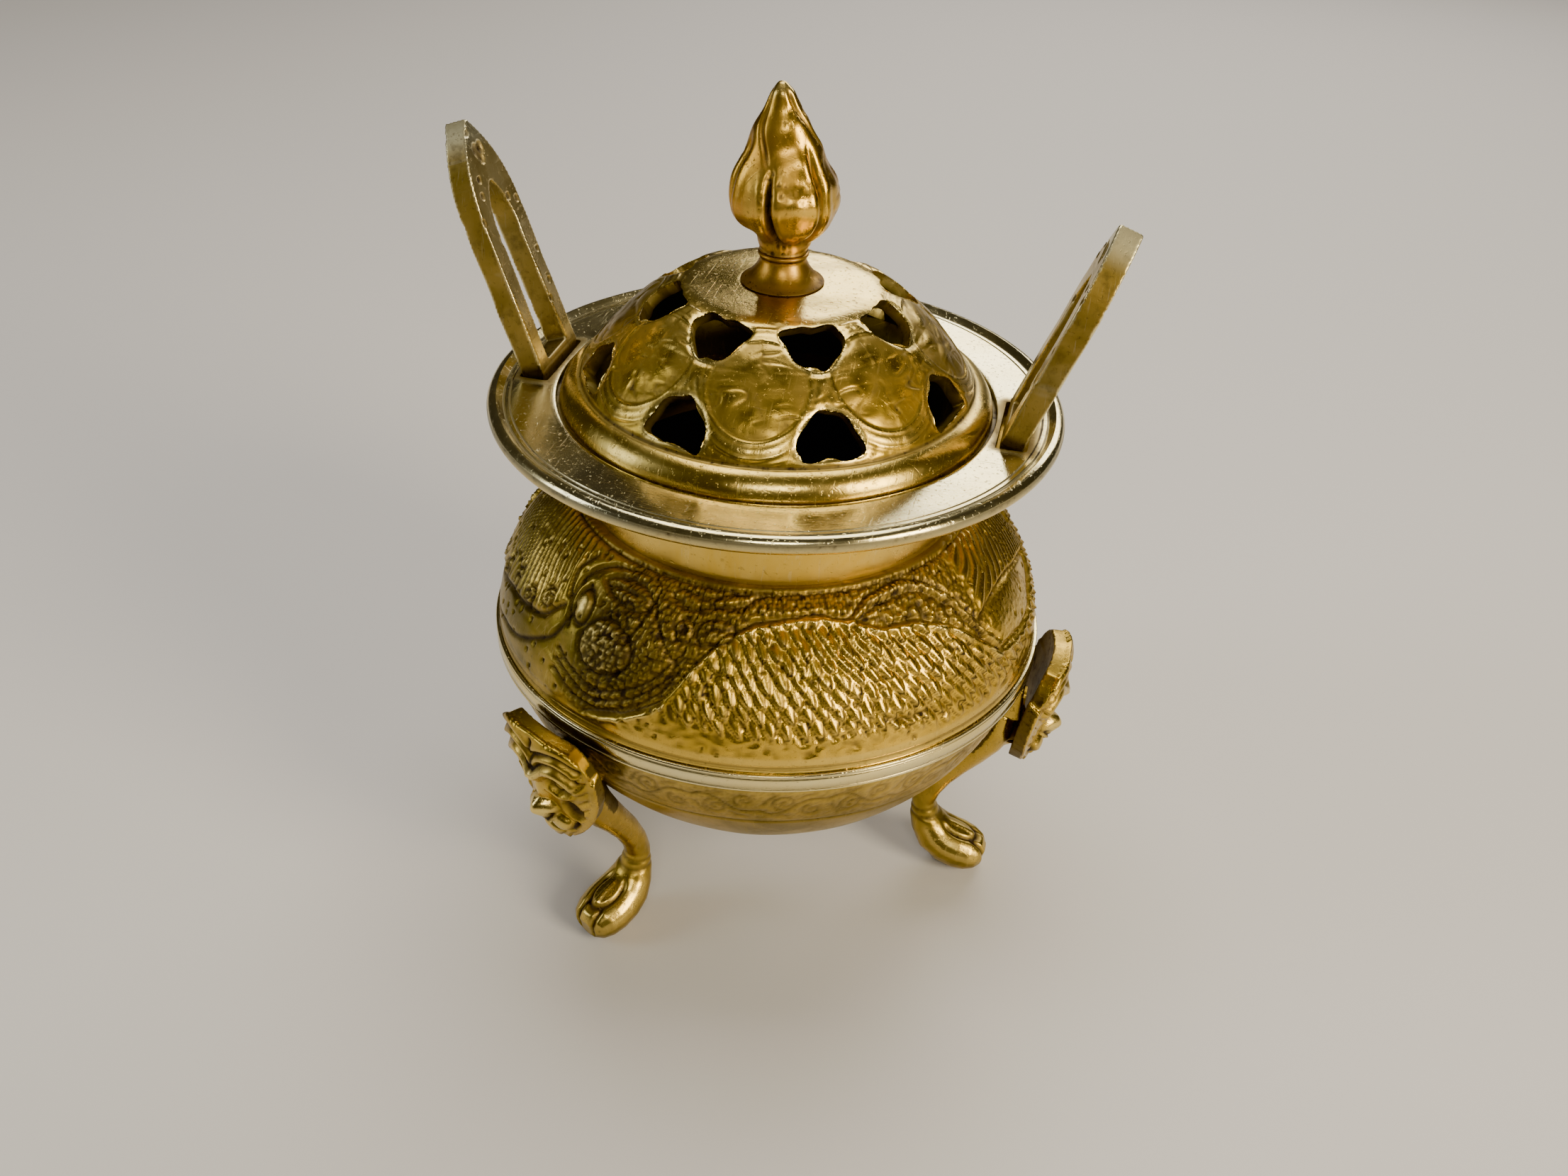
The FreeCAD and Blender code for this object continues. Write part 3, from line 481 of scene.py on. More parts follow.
class Finish:
    """One material, built node by node."""

    def __init__(self, name):
        self.material = bpy.data.materials.new(name)
        self.material.use_nodes = True
        self.tree = self.material.node_tree
        self.tree.nodes.clear()

    def node(self, kind, settings=None, inputs=None, output=0):
        """Adds a node, with its settings first and then the values or links of its inputs."""
        node = self.tree.nodes.new(kind)
        for name, value in (settings or {}).items():
            setattr(node, name, value)
        for key, value in (inputs or {}).items():
            if isinstance(value, Value):
                self.tree.links.new(value.socket, node.inputs[key])
            else:
                node.inputs[key].default_value = value
        return Value(self, node.outputs[output])

    def place(self):
        return self.node("ShaderNodeTexCoord", output="Object")

    def stretched(self, scale, turn=(0.0, 0.0, 0.0)):
        return self.node("ShaderNodeMapping", {}, {"Vector": self.place(), "Rotation": turn, "Scale": scale})

    def noise(self, scale, detail=3.0, rough=0.5, at=None, warp=0.0):
        return self.node("ShaderNodeTexNoise", {}, {
            "Vector": at or self.place(), "Scale": scale, "Detail": detail,
            "Roughness": rough, "Distortion": warp,
        })

    def kept(self, name):
        settings = {"attribute_type": "GEOMETRY", "attribute_name": name}
        return self.node("ShaderNodeAttribute", settings, output="Fac")

    def between(self, value, low, high, to_low=0.0, to_high=1.0):
        return self.node("ShaderNodeMapRange", {"interpolation_type": "SMOOTHSTEP", "clamp": True}, {
            "Value": value, "From Min": low, "From Max": high, "To Min": to_low, "To Max": to_high,
        })

    def limit(self, value):
        return self.node("ShaderNodeClamp", {}, {"Value": value})

    def blend(self, share, first, second):
        """Mixes two colours."""
        def paint(value):
            return value if isinstance(value, Value) else (*value, 1.0)
        return self.node("ShaderNodeMix", {"data_type": "RGBA", "clamp_factor": True}, {
            0: share, 6: paint(first), 7: paint(second),
        }, output=2)

    def radius(self):
        """Distance from the upright axis."""
        inputs = {0: self.place(), 1: (1.0, 1.0, 0.0)}
        flat = self.node("ShaderNodeVectorMath", {"operation": "MULTIPLY"}, inputs)
        return self.node("ShaderNodeVectorMath", {"operation": "LENGTH"}, {0: flat}, output="Value")

    def surface(self, paint, metallic, roughness, height, depth):
        """Joins colour, metal, roughness and bump in one surface."""
        normal = self.node("ShaderNodeBump", {}, {"Strength": 1.0, "Distance": depth, "Height": height})
        shader = self.node("ShaderNodeBsdfPrincipled", {}, {
            "Base Color": paint, "Metallic": metallic, "Roughness": roughness, "Normal": normal,
        })
        self.node_output(shader)
        return self.material

    def node_output(self, shader):
        output = self.tree.nodes.new("ShaderNodeOutputMaterial")
        self.tree.links.new(shader.socket, output.inputs["Surface"])


def aged_brass(
    name, metal, wear_and_sheen, tarnished_and_shaded, grime_and_shade, roughness, mottle, grain=0.5, turned_lines=0.0, hollow_darkening_share=1.0
):
    """Cast brass: lighter with wear and painted highlights, darker with tarnish and painted shade, dark in
    its hollows with patina and painted shade, scratched and pitted.
    """
    finish = Finish(name)
    hollow, wear_and_highlight, shade = finish.kept("hollow"), finish.kept("wear_and_highlight"), finish.kept("shade")
    clouds = finish.between(finish.noise(55.0, 4.0, 0.6, warp=0.6), 0.38, 0.66)
    spots = finish.between(finish.noise(420.0, 5.0, 0.65), 0.5, 0.72)
    specks = finish.between(finish.noise(1500.0, 2.0, 0.6), 0.60, 0.74)
    one_way = finish.stretched((2600.0, 90.0, 300.0), (0.3, 0.2, 0.5))
    other_way = finish.stretched((120.0, 2400.0, 260.0), (0.5, -0.3, 0.2))
    scratches = finish.between(finish.noise(1.0, 2.0, 0.5, at=one_way), 0.62, 0.74)
    cross = finish.between(finish.noise(1.0, 2.0, 0.5, at=other_way), 0.63, 0.75)
    # Painted shade: the shade mask, with some mottled tarnish, turns the metal towards the darker tint.
    paint = finish.blend(finish.limit(shade * 0.85 + clouds * mottle * 0.6), metal, tarnished_and_shaded)
    paint = finish.blend(spots * mottle * 0.55, paint, tarnished_and_shaded)
    # Wear on high points, and painted highlights, turn it towards the lighter tint.
    paint = finish.blend(finish.limit(wear_and_highlight * 0.85 + (1 - clouds) * 0.12), paint, wear_and_sheen)
    paint = finish.blend((scratches + cross) * 0.16, paint, wear_and_sheen)
    # Patina in the hollows, and the painted shade that the hollow mask also carries, turn it towards the
    # darkest tint.
    dirt_and_shade = finish.limit(hollow * hollow_darkening_share * (0.95 + spots * 0.4) + specks * mottle * 0.45)
    paint = finish.blend(dirt_and_shade, paint, grime_and_shade)
    rough = finish.limit(
        roughness + dirt_and_shade * 0.28 + shade * 0.10 + clouds * 0.07 + spots * 0.06
        - wear_and_highlight * 0.05 + scratches * 0.06
    )
    height = finish.noise(900.0, 4.0, 0.6) * grain + specks * -0.35 - (scratches + cross) * 0.10
    if turned_lines:
        rings = finish.node("ShaderNodeTexNoise", {"noise_dimensions": "1D"}, {
            "W": finish.radius(), "Scale": 2600.0, "Detail": 3.0, "Roughness": 0.7,
        })
        height = height + rings * turned_lines
        rough = rough + rings * 0.05 * turned_lines
    return finish.surface(paint, 1 - dirt_and_shade * 0.45, rough, height, 0.06 * MM)


def plain_floor(name, tint):
    """A plain matt floor with the faintest unevenness."""
    finish = Finish(name)
    clouds = finish.noise(3.0, 3.0)
    paint = finish.blend(clouds * 0.12, tint, tuple(0.9 * c for c in tint))
    return finish.surface(paint, 0.0, 0.62 + clouds * 0.06, finish.noise(700.0, 2.0), 0.02 * MM)


BRASS = {}


def brass(kind):
    """The finish of one kind of piece, mixed the first time that it is asked for."""
    if kind in BRASS:
        return BRASS[kind]
    tints = bpy.context.scene.censer_finish
    gold, pale, silver = tuple(tints.gold), tuple(tints.pale), tuple(tints.silver)
    olive_tarnish_shade, brown_patina_shade, amber = tuple(tints.olive_tarnish_shade), tuple(tints.brown_patina_shade), tuple(tints.amber)
    # Plain brass: its darker tint serves painted shade and tarnish, its darkest tint patina and painted
    # shade, and its lighter tint wear and painted highlights.
    plain = dict(metal=gold, wear_and_sheen=pale, tarnished_and_shaded=olive_tarnish_shade, grime_and_shade=brown_patina_shade)
    recipes = {
        "relief": dict(plain, roughness=0.22, mottle=0.5),
        "bowl": dict(plain, roughness=0.26, mottle=0.6, hollow_darkening_share=0.8),
        "polished": dict(
            metal=pale, wear_and_sheen=silver, tarnished_and_shaded=gold, grime_and_shade=brown_patina_shade,
            roughness=0.17, mottle=0.28, grain=0.25, turned_lines=0.15,
        ),
        "lid": dict(plain, roughness=0.20, mottle=0.7),
        "finial": dict(plain, tarnished_and_shaded=amber, roughness=0.19, mottle=0.8),
        "leg": dict(plain, roughness=0.22, mottle=0.7),
        "handle": dict(plain, wear_and_sheen=silver, roughness=0.26, mottle=0.5),
        "fixing": dict(plain, roughness=0.34, mottle=0.7),
    }
    BRASS[kind] = aged_brass(kind + "_brass", **recipes[kind])
    return BRASS[kind]


# The vessel


def round_and_up(places):
    """Direction about the axis from the front, in degrees, with distance from the axis and height."""
    radius = np.hypot(places[:, 0], places[:, 1])
    direction = np.degrees(np.arctan2(places[:, 1], places[:, 0])) - FRONT
    return (direction + 180) % 360 - 180, radius, places[:, 2]


def on_belly(corners):
    """Corners given as degrees from the front and millimetres above the band, both in millimetres."""
    return [(0.8 * turn, rise) for turn, rise in corners]


BODY_LINE = [
    (-180, 23), (-166, 27), (-150, 25), (-134, 17), (-118, 20), (-104, 25), (-97, 16), (-94, 0), (-40, 0),
    (-36, 2.5), (-28, 4.5), (-20, 9), (-15, 16), (-9, 21.5), (-3, 24.2), (5, 25.0), (14, 25.4), (21, 23.8),
    (27, 22.0), (36, 21.5), (44, 18.5), (50, 14), (56, 9.5), (66, 8.0), (76, 9.0), (86, 13), (97, 22),
    (110, 26), (124, 21), (138, 17.5), (152, 22), (168, 26), (180, 23),
]


def chase_belly(turn, rise):
    """The serpent, its mane and its plumes: heights, dark hollows, places of wear and painted highlight, and
    painted shade.
    """
    x = 0.8 * turn + 0.40 * waver(0.8 * turn, rise, 6.5, 1.0)
    y = rise + 0.40 * waver(0.8 * turn, rise, 5.5, 2.0)
    body_top = np.interp(turn, *np.array(BODY_LINE, float).T)
    height, dark = np.zeros_like(x), np.zeros_like(x)

    def groove(corners, depth=0.55, width=0.42):
        line = stroke(x, y, on_belly(corners), width)
        height[:] -= depth * line
        np.maximum(dark, 0.95 * line, out=dark)

    def ridge(corners, rise_by=0.35, width=0.6):
        height[:] += rise_by * stroke(x, y, on_belly(corners), width)

    def boss(cu, cv, ru, rv, rise_by, lean=0.0, outline=True):
        height[:] += rise_by * lobe(x, y, 0.8 * cu, cv, 0.8 * ru, rv, lean)
        if outline:
            edge = ring_line(x, y, 0.8 * cu, cv, 0.8 * ru + 0.15, rv + 0.15, 0.36, lean)
            height[:] -= 0.5 * edge
            np.maximum(dark, edge, out=dark)

    # The scaled body, with a smooth back line and a dark line over it
    foot_line = 4.4 + 0.9 * np.sin(turn / 9.0) + 3.2 * fade(10, -18, turn) * fade(-45, -30, turn)
    body = fade(-0.5, 0.3, body_top - y) * fade(2.6, 3.2, y)
    covered = body * fade(-0.4, 1.2, y - foot_line)
    leaned = x + 0.22 * y
    scale_height, scale_line = scales(leaned, y, 2.5, 2.6)
    height += covered * (0.85 * scale_height - 0.30)
    dark = np.maximum(dark, covered * 0.95 * scale_line)
    # Worn, rough casting under the scales
    rough = body * (1 - covered)
    lumps = 0.9 * waver(x, 1.6 * y, 2.6, 9.0) * waver(x + y, y, 5.0, 3.0)
    rubble = np.clip(0.5 + lumps + 0.25 * waver(x, y, 1.5, 5.0), 0, 1)
    height += rough * (0.60 * rubble - 0.32)
    dark = np.maximum(dark, rough * np.clip(0.80 - 1.6 * rubble, 0, 1))
    back = (body_top > 1) * np.exp(-(((y - body_top) / 0.55) ** 2))
    over = (body_top > 1) * np.exp(-(((y - body_top - 1.15) / 0.42) ** 2))
    height += 0.45 * back - 0.6 * over
    dark = np.maximum(dark * (1 - 0.9 * back), over)
    # The punched ground over the body
    ground = fade(1.3, 2.0, y - body_top) * fade(-46, -36, turn) * (1 - fade(54, 60, turn))
    round_back = 1 - fade(-98, -92, turn) * (1 - fade(84, 92, turn))
    ground = np.maximum(ground, fade(1.3, 2.0, y - body_top) * round_back)
    punched = grains(x, y, 0.95)
    height += ground * (0.34 * punched - 0.28)
    dark = np.maximum(dark, ground * 0.9 * (1 - punched))
    # Beads under the arch and along the back
    beads = fade(0.8, 1.3, y - body_top) * fade(20, 23, turn)
    beads = beads * (1 - fade(46, 50, turn)) * (1 - fade(24.5, 25.5, y))
    knobs = grains(x, y, 1.9, 3.0)
    height += beads * (0.55 * knobs - 0.1)
    dark = np.maximum(dark * (1 - beads), beads * 0.9 * (1 - knobs))
    for k in range(11):
        boss(-1 + 2.0 * k, 27.1 + 0.35 * math.sin(k), 1.0, 1.05, 0.4, outline=False)
    # The mane: long locks that end in curls
    mane = fade(-97, -91, turn) * (1 - fade(-55, -49, turn))
    low_edge = np.interp(turn, [-95, -84, -72, -62, -54, -49], [6, 8.5, 11.5, 12.5, 14.5, 19])
    mane_here = mane * fade(-0.6, 0.8, y - low_edge)
    swing = x + 1.6 * np.sin(y / 4.6 + turn / 17) + 0.09 * (y - 15) * (y - 15) / 4
    lock = np.abs(np.sin(swing * math.pi / 1.75))
    hair = np.abs(np.sin(swing * math.pi / 0.58))
    height += mane_here * (0.60 * np.sqrt(lock) - 0.25 + 0.06 * hair)
    dark = np.maximum(dark, mane_here * np.clip(1 - 2.6 * lock, 0, 1))
    for cu, cv, radius, side in (
        (-88, 9.5, 2.2, 1), (-79, 11.5, 2.3, -1), (-70, 13.2, 2.2, 1), (-62, 14.0, 2.1, -1),
        (-55, 16.6, 2.0, 1),
    ):
        boss(cu, cv, radius / 0.8, radius, 0.35, outline=False)
        groove([(a / 0.8, b) for a, b in curl(0.8 * cu, cv, radius, 1.6, 90, side)], 0.5, 0.34)
    groove([(-95, 6.2), (-84, 7.6), (-74, 10.2), (-64, 11.6), (-56, 13.2), (-50, 17.5)], 0.55)
    # The plain field under the mane
    height += 0.25 * lobe(x, y, 0.8 * -62, 5.4, 17, 5.0)
    groove([(-96, 3.0), (-80, 3.4), (-64, 5.6), (-54, 9.0), (-48, 14.0), (-46, 19.0)], 0.4)
    # The head
    height += 0.35 * lobe(x, y, 0.8 * -33, 18.5, 0.8 * 16, 10.5)
    boss(-35.5, 15.2, 6.4, 4.4, 0.62)
    height -= 0.35 * np.clip(lobe(x, y, 0.8 * -35.5, 15.2, 4.4, 3.7), 0, 1) * grains(x, y, 1.5, 7.0)
    dark = np.maximum(dark, 0.8 * (lobe(x, y, 0.8 * -35.5, 15.2, 4.2, 3.5) > 0.2) * grains(x, y, 1.5, 7.0))
    groove([
        (-43, 25.2), (-40, 26.6), (-36, 27.2), (-31, 26.6), (-28.6, 24.8),
        (-30, 23.0), (-34, 22.8), (-39, 23.6), (-43, 25.2),
    ], 0.6)
    boss(-35.5, 25.0, 4.2, 1.25, 0.55, outline=False)
    groove([(-40.5, 25.0), (-35.5, 25.3), (-31, 24.8)], 0.7, 0.34)
    for cu, cv in ((-40.5, 21.3), (-38, 20.6), (-35, 20.9), (-32, 20.5), (-36.5, 22.0), (-33.4, 21.9)):
        line = ring_line(x, y, 0.8 * cu, cv, 0.35, 0.35, 0.35)
        height -= 0.4 * line
        dark = np.maximum(dark, 0.85 * line)
    for lift in (0.0, 1.9, 3.7):
        jaw = [(-47, 11.0), (-41, 8.6), (-34, 8.2), (-27, 10.6), (-21, 14.8), (-17.5, 19.6)]
        groove([(along, up - lift) for along, up in jaw], 0.55)
    groove([(-31, 17.6), (-29.2, 20.4), (-28.2, 23.6), (-27.5, 27.0)])
    groove([(-27.5, 25.4), (-24.6, 21.6), (-21.6, 18.6), (-18.6, 16.4)])
    groove([(-46, 15.5), (-49, 20.5), (-47.5, 25.5), (-43, 28.0), (-36, 28.8)])
    groove([(-50, 19.5), (-52.5, 23.5), (-50.5, 27.5)], 0.5)
    boss(-44.5, 19.6, 2.2, 2.9, 0.4, 12)
    # The snout, its ring and the loop beside it
    boss(-18.6, 22.3, 2.0, 1.7, 0.4)
    height -= 0.5 * (lobe(x, y, 0.8 * -18.6, 22.3, 0.8, 0.8) > 0)
    dark = np.maximum(dark, 1.0 * (lobe(x, y, 0.8 * -18.6, 22.3, 0.85, 0.85) > 0))
    boss(-11.4, 22.8, 3.9, 2.1, 0.5, 14)
    groove([(-14.2, 22.2), (-11, 23.2), (-8.6, 23.4)], 0.5, 0.34)
    groove([(-24, 27.0), (-19, 25.8), (-13, 27.0), (-6, 27.6), (-2.5, 29.2), (0.5, 30.2)])
    groove([(-24, 29.2), (-17, 28.2), (-10, 29.4), (-5, 29.8)], 0.4, 0.36)
    # The arch over the beads
    arch = [
        (20.5, 24.6), (23.5, 26.4), (28, 27.7), (35, 28.3), (41, 27.2),
        (45.5, 24.4), (49, 20.4), (52.5, 15.0), (56.5, 10.8),
    ]
    ridge(arch, 0.55, 0.75)
    groove([(u + 0.4, v + 1.25) for u, v in arch], 0.55)
    groove([(u - 0.4, v - 1.15) for u, v in arch[:-1]], 0.5, 0.36)
    groove([(24.5, 8.2), (28.5, 7.0), (33, 7.6)], 0.5)
    # The smooth grained field at the right, and the plumes over it
    height += 0.45 * lobe(x, y, 0.8 * 66, 13.6, 0.8 * 12, 4.6)
    field = (lobe(x, y, 0.8 * 66, 13.6, 0.8 * 12.5, 5.0) > 0) * 1.0
    fine = grains(x, y, 0.62, 9.0)
    height -= 0.10 * field * fine
    dark = np.maximum(dark * (1 - 0.8 * field), 0.35 * field * fine)
    plume_foot = np.interp(turn, [53, 60, 68, 80, 92], [17, 18.4, 19.0, 17.0, 14.0])
    plumes = fade(53, 56, turn) * (1 - fade(90, 95, turn)) * fade(0.0, 0.8, y - plume_foot)
    lean = 0.8 * x - 0.62 * y + 0.020 * (x - 56) ** 2
    barb = np.abs(np.sin(lean * math.pi / 1.7))
    height = height * (1 - plumes) + plumes * (0.58 * np.sqrt(barb) - 0.28)
    dark = np.maximum(dark * (1 - plumes), plumes * np.clip(1 - 2.8 * barb, 0, 1))
    groove([(53.5, 17.4), (60, 18.6), (68, 19.1), (80, 17.2), (90, 14.4)], 0.55)
    # Curling plumes round the back
    for k, cu in enumerate((104, 122, 140, 158, 176, -166, -148, -130, -112)):
        level, side = (25.2, 1) if k % 2 else (26.2, -1)
        groove([(a / 0.8, b) for a, b in curl(0.8 * cu, level, 2.5, 1.5, 200, side)], 0.5, 0.36)
    # A plain margin over the band, with one dark line
    plain = fade(3.1, 2.5, rise)
    height = height * (1 - plain)
    dark = dark * (1 - plain)
    margin = np.exp(-(((rise - 0.95 - 0.25 * waver(x, y, 30.0, 3.0)) / 0.30) ** 2))
    height -= 0.40 * margin
    dark = np.maximum(dark, 0.9 * margin * fade(-60, -30, turn))
    # Cast grain and small pits all over
    height += 0.05 * waver(x, y, 2.6, 8.0) * (1 - plain)
    chosen = chance(np.floor(x / 1.7), np.floor(y / 1.7), 3.0) > 0.84
    pits = fade(0.75, 0.95, grains(x, y, 1.7, 15.0)) * chosen * (1 - plain)
    height -= 0.35 * pits
    dark = np.maximum(dark, 0.9 * pits)
    top = np.exp(-(((rise - 30.0) / 0.4) ** 2))
    height -= 0.4 * top
    dark = np.maximum(dark, 0.9 * top)
    edges = fade(0.5, 1.4, rise) * (1 - fade(30.6, 31.3, rise))
    height, dark = height * edges, np.clip(dark, 0, 1) * fade(0.6, 1.2, rise)
    rubbed_and_lit = np.clip((height - 0.22) / 0.55, 0, 1) * (1 - dark)
    # Painted shade on the left and painted light on the right, with a painted highlight on the plain margin
    # towards the right
    shade = 0.85 - 0.72 * fade(-58, 10, turn) + 0.28 * waver(x, y, 22.0, 4.0) - 0.15 * plain
    shade = np.where(np.abs(turn) > 95, 0.45, shade)
    rubbed_and_lit = np.maximum(rubbed_and_lit, 0.35 * plain * fade(-45, 0, turn))
    return height, dark, rubbed_and_lit, np.clip(shade, 0, 1)


def make_shoulder(sizes):
    """Turns the shoulder and chases the serpent into it."""
    wide, join = sizes.belly_radius, sizes.belly_height
    edge, top, curve = sizes.shoulder_radius, sizes.shoulder_top, sizes.shoulder_curve
    throat, wall = sizes.throat_radius, sizes.wall
    outline = curved((wide, join), (edge, top), curve, 84)
    outline += straight((edge, top), (throat, top), 4)
    outline += curved((throat, top), (wide - wall, join), curve - wall, 9, -1)
    outline += straight((wide - wall, join), (wide, join), 2)
    piece = turned("shoulder_relief", outline + outline[:1], 820)
    turn, radius, height = round_and_up(corners_of(piece))
    centre_height = join + 0.33 * MM
    centre_radius = wide - curve
    over = np.clip((height - centre_height) / curve, -1, 1)
    surface = centre_radius + curve * np.sqrt(1 - over**2)
    outer = radius > surface - wall / 2
    level = (sizes.band_top - centre_height) / curve
    rise = curve / MM * (np.arcsin(over) - math.asin(level))
    heights, dark, rubbed_and_lit, shade = chase_belly(turn, rise)
    outer = outer & (height < top - 0.01 * MM)
    push_out(piece, np.where(outer, heights, 0) * sizes.relief)
    # The inside faces get painted shade, in the hollow mask and in the shade mask.
    mark(piece, "hollow", np.where(outer, dark, 0.35))
    mark(piece, "wear_and_highlight", np.where(outer, rubbed_and_lit, 0))
    mark(piece, "shade", np.where(outer, shade, 0.8))
    hand_over(piece, "vessel", ["vessel_shoulder"], brass("relief"))


def chase_frieze(turn, level):
    """Scrolls and stipple engraved in a strip under the band: depths and dark lines."""
    pitch = 360.0 / 26
    cell = np.floor(turn / pitch)
    x = (turn - (cell + 0.5) * pitch) * 0.83
    flip = np.where(np.mod(cell, 2) > 0.5, -1.0, 1.0)
    y = (level - 47.2) * flip
    depth = np.zeros_like(x)
    for corners, strength in (
        ([(-5.8, -1.6), (-3.6, -2.6), (-1.2, -1.4), (0.6, 0.6), (2.8, 1.9), (5.8, 1.6)], 1.0),
        (curl(-1.5, 1.1, 2.3, 1.4, 250, -1), 0.9),
        (curl(3.2, -1.5, 1.9, 1.3, 120, 1), 0.9),
        ([(-5.2, 0.4), (-4.2, 2.2), (-3.2, 3.4)], 0.8),
        ([(0.9, 2.4), (1.9, 3.3), (3.4, 3.6)], 0.8),
        ([(-2.8, -3.4), (-1.6, -3.0), (-0.6, -3.6)], 0.8),
    ):
        depth = np.maximum(depth, strength * stroke(x, y, corners, 0.38))
    stipple = grains(0.83 * turn, level, 0.9, 4.0) * (1 - np.clip(1.6 * depth, 0, 1))
    inside = fade(42.0, 42.8, level) * (1 - fade(51.3, 51.9, level))
    borders = np.exp(-(((level - 41.6) / 0.3) ** 2)) + np.exp(-(((level - 51.9) / 0.28) ** 2))
    sunk = inside * (0.28 * depth + 0.12 * stipple) + 0.25 * borders
    return sunk, np.clip(inside * (0.8 * depth + 0.35 * stipple) + 0.8 * borders, 0, 1)


def make_bowl(sizes):
    """Turns the lower bowl and engraves the frieze under the band."""
    wide, join, wall = sizes.belly_radius, sizes.belly_height, sizes.wall
    flat, bottom, curve = sizes.bowl_flat, sizes.bowl_bottom, sizes.bowl_curve
    outer = curved((flat, bottom), (wide, join), curve, 120)
    plain = [p for p in outer if p[1] < 40 * MM][::3]
    outline = [(0.0, bottom)] + plain + [p for p in outer if p[1] >= 40 * MM]
    outline += straight((wide, join), (wide - wall, join), 2)
    outline += curved((wide - wall, join), (flat, bottom + wall), curve - wall, 22, -1)
    piece = turned("lower_bowl", outline + [(flat, bottom + wall), (0.0, bottom + wall)], 620)
    turn, radius, height = round_and_up(corners_of(piece))
    from_curve = np.hypot(radius - (flat + 0.3 * MM), height - (bottom + curve))
    outside = (from_curve > curve - wall / 2) & (height < join - 0.3 * MM) & (height > bottom + 0.2 * MM)
    depth, dark = chase_frieze(turn, height / MM)
    dents = 0.10 * waver(radius * np.radians(turn) / MM, height / MM, 16.0, 6.0)
    push_out(piece, np.where(outside, dents - depth, 0) * MM)
    # The inside faces get painted shade in the hollow and shade masks; outside, the shade mask paints light
    # towards the right and the top.
    mark(piece, "hollow", np.where(outside, dark, 0.3))
    mark(piece, "wear_and_highlight", np.where(outside, 0.25 * fade(44, 52, height / MM) * (1 - dark), 0))
    lit = fade(-60, 30, turn) * fade(30, 50, height / MM)
    mark(piece, "shade", np.where(outside, 0.75 - 0.45 * lit, 0.9))
    hand_over(piece, "vessel", ["vessel_lower"], brass("bowl"))


def make_rim(vessel, rim, handle):
    """Turns the neck and rim with its rolled lip, and cuts the slots that the handles pass through."""
    throat, neck, cove = vessel.throat_radius, vessel.neck_radius, rim.cove
    top, flat, under, lip = rim.top, rim.flat, rim.under, (rim.top - rim.under) / 2
    edge, line, gap = rim.radius, 0.16 * MM, 0.6 * MM
    outline = straight((throat, vessel.shoulder_top), (neck, vessel.shoulder_top), 3)
    outline += straight((neck, vessel.shoulder_top), (neck, under - cove), 14)
    outline += curved((neck, under - cove), (neck + cove, under), cove, 12, -1)
    outline += straight((neck + cove, under), (edge - lip, under), 8)
    outline += curved((edge - lip, under), (edge, top - lip), lip, 9)
    outline += curved((edge, top - lip), (edge - lip, top), lip, 9)
    outline += straight((edge - lip, top), (edge - 1.5 * lip, flat + 0.1 * MM), 5)
    for step_in, drop in (
        (1.62, 0.0), (1.72, line), (1.82, line), (1.92, 0.0),
        (2.25, 0.0), (2.33, line), (2.41, line), (2.5, 0.0),
    ):
        outline.append((edge - step_in * lip, flat - drop))
    mouth = rim.mouth_radius
    outline += straight((edge - 2.6 * lip, flat), (mouth + 0.5 * MM, flat), 12)
    outline += [(mouth + 0.5 * MM, flat), (mouth + 0.15 * MM, flat - 0.1 * MM), (mouth, flat - 0.4 * MM)]
    outline += straight((mouth, rim.seat), (throat, rim.seat), 6)
    outline += straight((throat, rim.seat), (throat, vessel.shoulder_top), 8)
    piece = turned("neck_and_rim", outline + outline[:1], 384)
    for degrees in HANDLE_TURNS.values():
        put_down_everything()
        bpy.ops.mesh.primitive_cube_add(size=1.0, location=(handle.circle, 0, flat))
        cutter = bpy.context.object
        cutter.scale = (handle.thickness + 2 * gap, handle.width + 2 * gap, 9 * MM)
        turn_mesh(cutter, 0)
        modify(cutter, "BEVEL", width=0.5 * MM, segments=2)
        turn_mesh(cutter, degrees)
        cut(piece, cutter)
    places = corners_of(piece)
    _, radius, height = round_and_up(places)
    x, y = places[:, 0] / MM, places[:, 1] / MM
    upper = fade(97.5, 99.0, height / MM)
    push_out(piece, (0.055 * waver(x, y, 26.0, 1.0) + 0.02 * waver(x, y, 7.0, 2.0)) * upper * MM)
    past_side = np.abs(np.abs(x) - handle.circle / MM) - (handle.thickness / 2 + gap) / MM
    past_end = np.abs(y) - (handle.width / 2 + gap) / MM
    beside = np.hypot(np.maximum(past_side, 0), np.maximum(past_end, 0))
    solder = np.exp(-((beside / (1.3 + 0.8 * waver(x, y, 4.0, 3.0))) ** 2)) * upper
    lines = fade(0.05, 0.14, flat / MM - height / MM) * (radius > mouth + 0.6 * MM) * upper
    # Painted shade on the seat, in the gap between the lid's edge and the mouth.
    seat = (radius < mouth + 0.1 * MM) & (height > rim.seat - 0.1 * MM)
    # Painted shade on the neck under the rim's overhang.
    below = fade(99.0, 96.0, height / MM)
    mark(piece, "hollow", np.clip(0.75 * solder + 0.7 * lines + 0.8 * seat + 0.5 * (height < 82 * MM), 0, 1))
    # The rim's top is lightened for wear and for a painted highlight.
    mark(piece, "wear_and_highlight", upper * (0.75 + 0.25 * waver(x, y, 14.0, 5.0)) * (1 - solder))
    mark(piece, "shade", np.clip(below * 0.9 + 0.5 * solder, 0, 1))
    hand_over(piece, "vessel", ["neck_rim"], brass("polished"), 38)


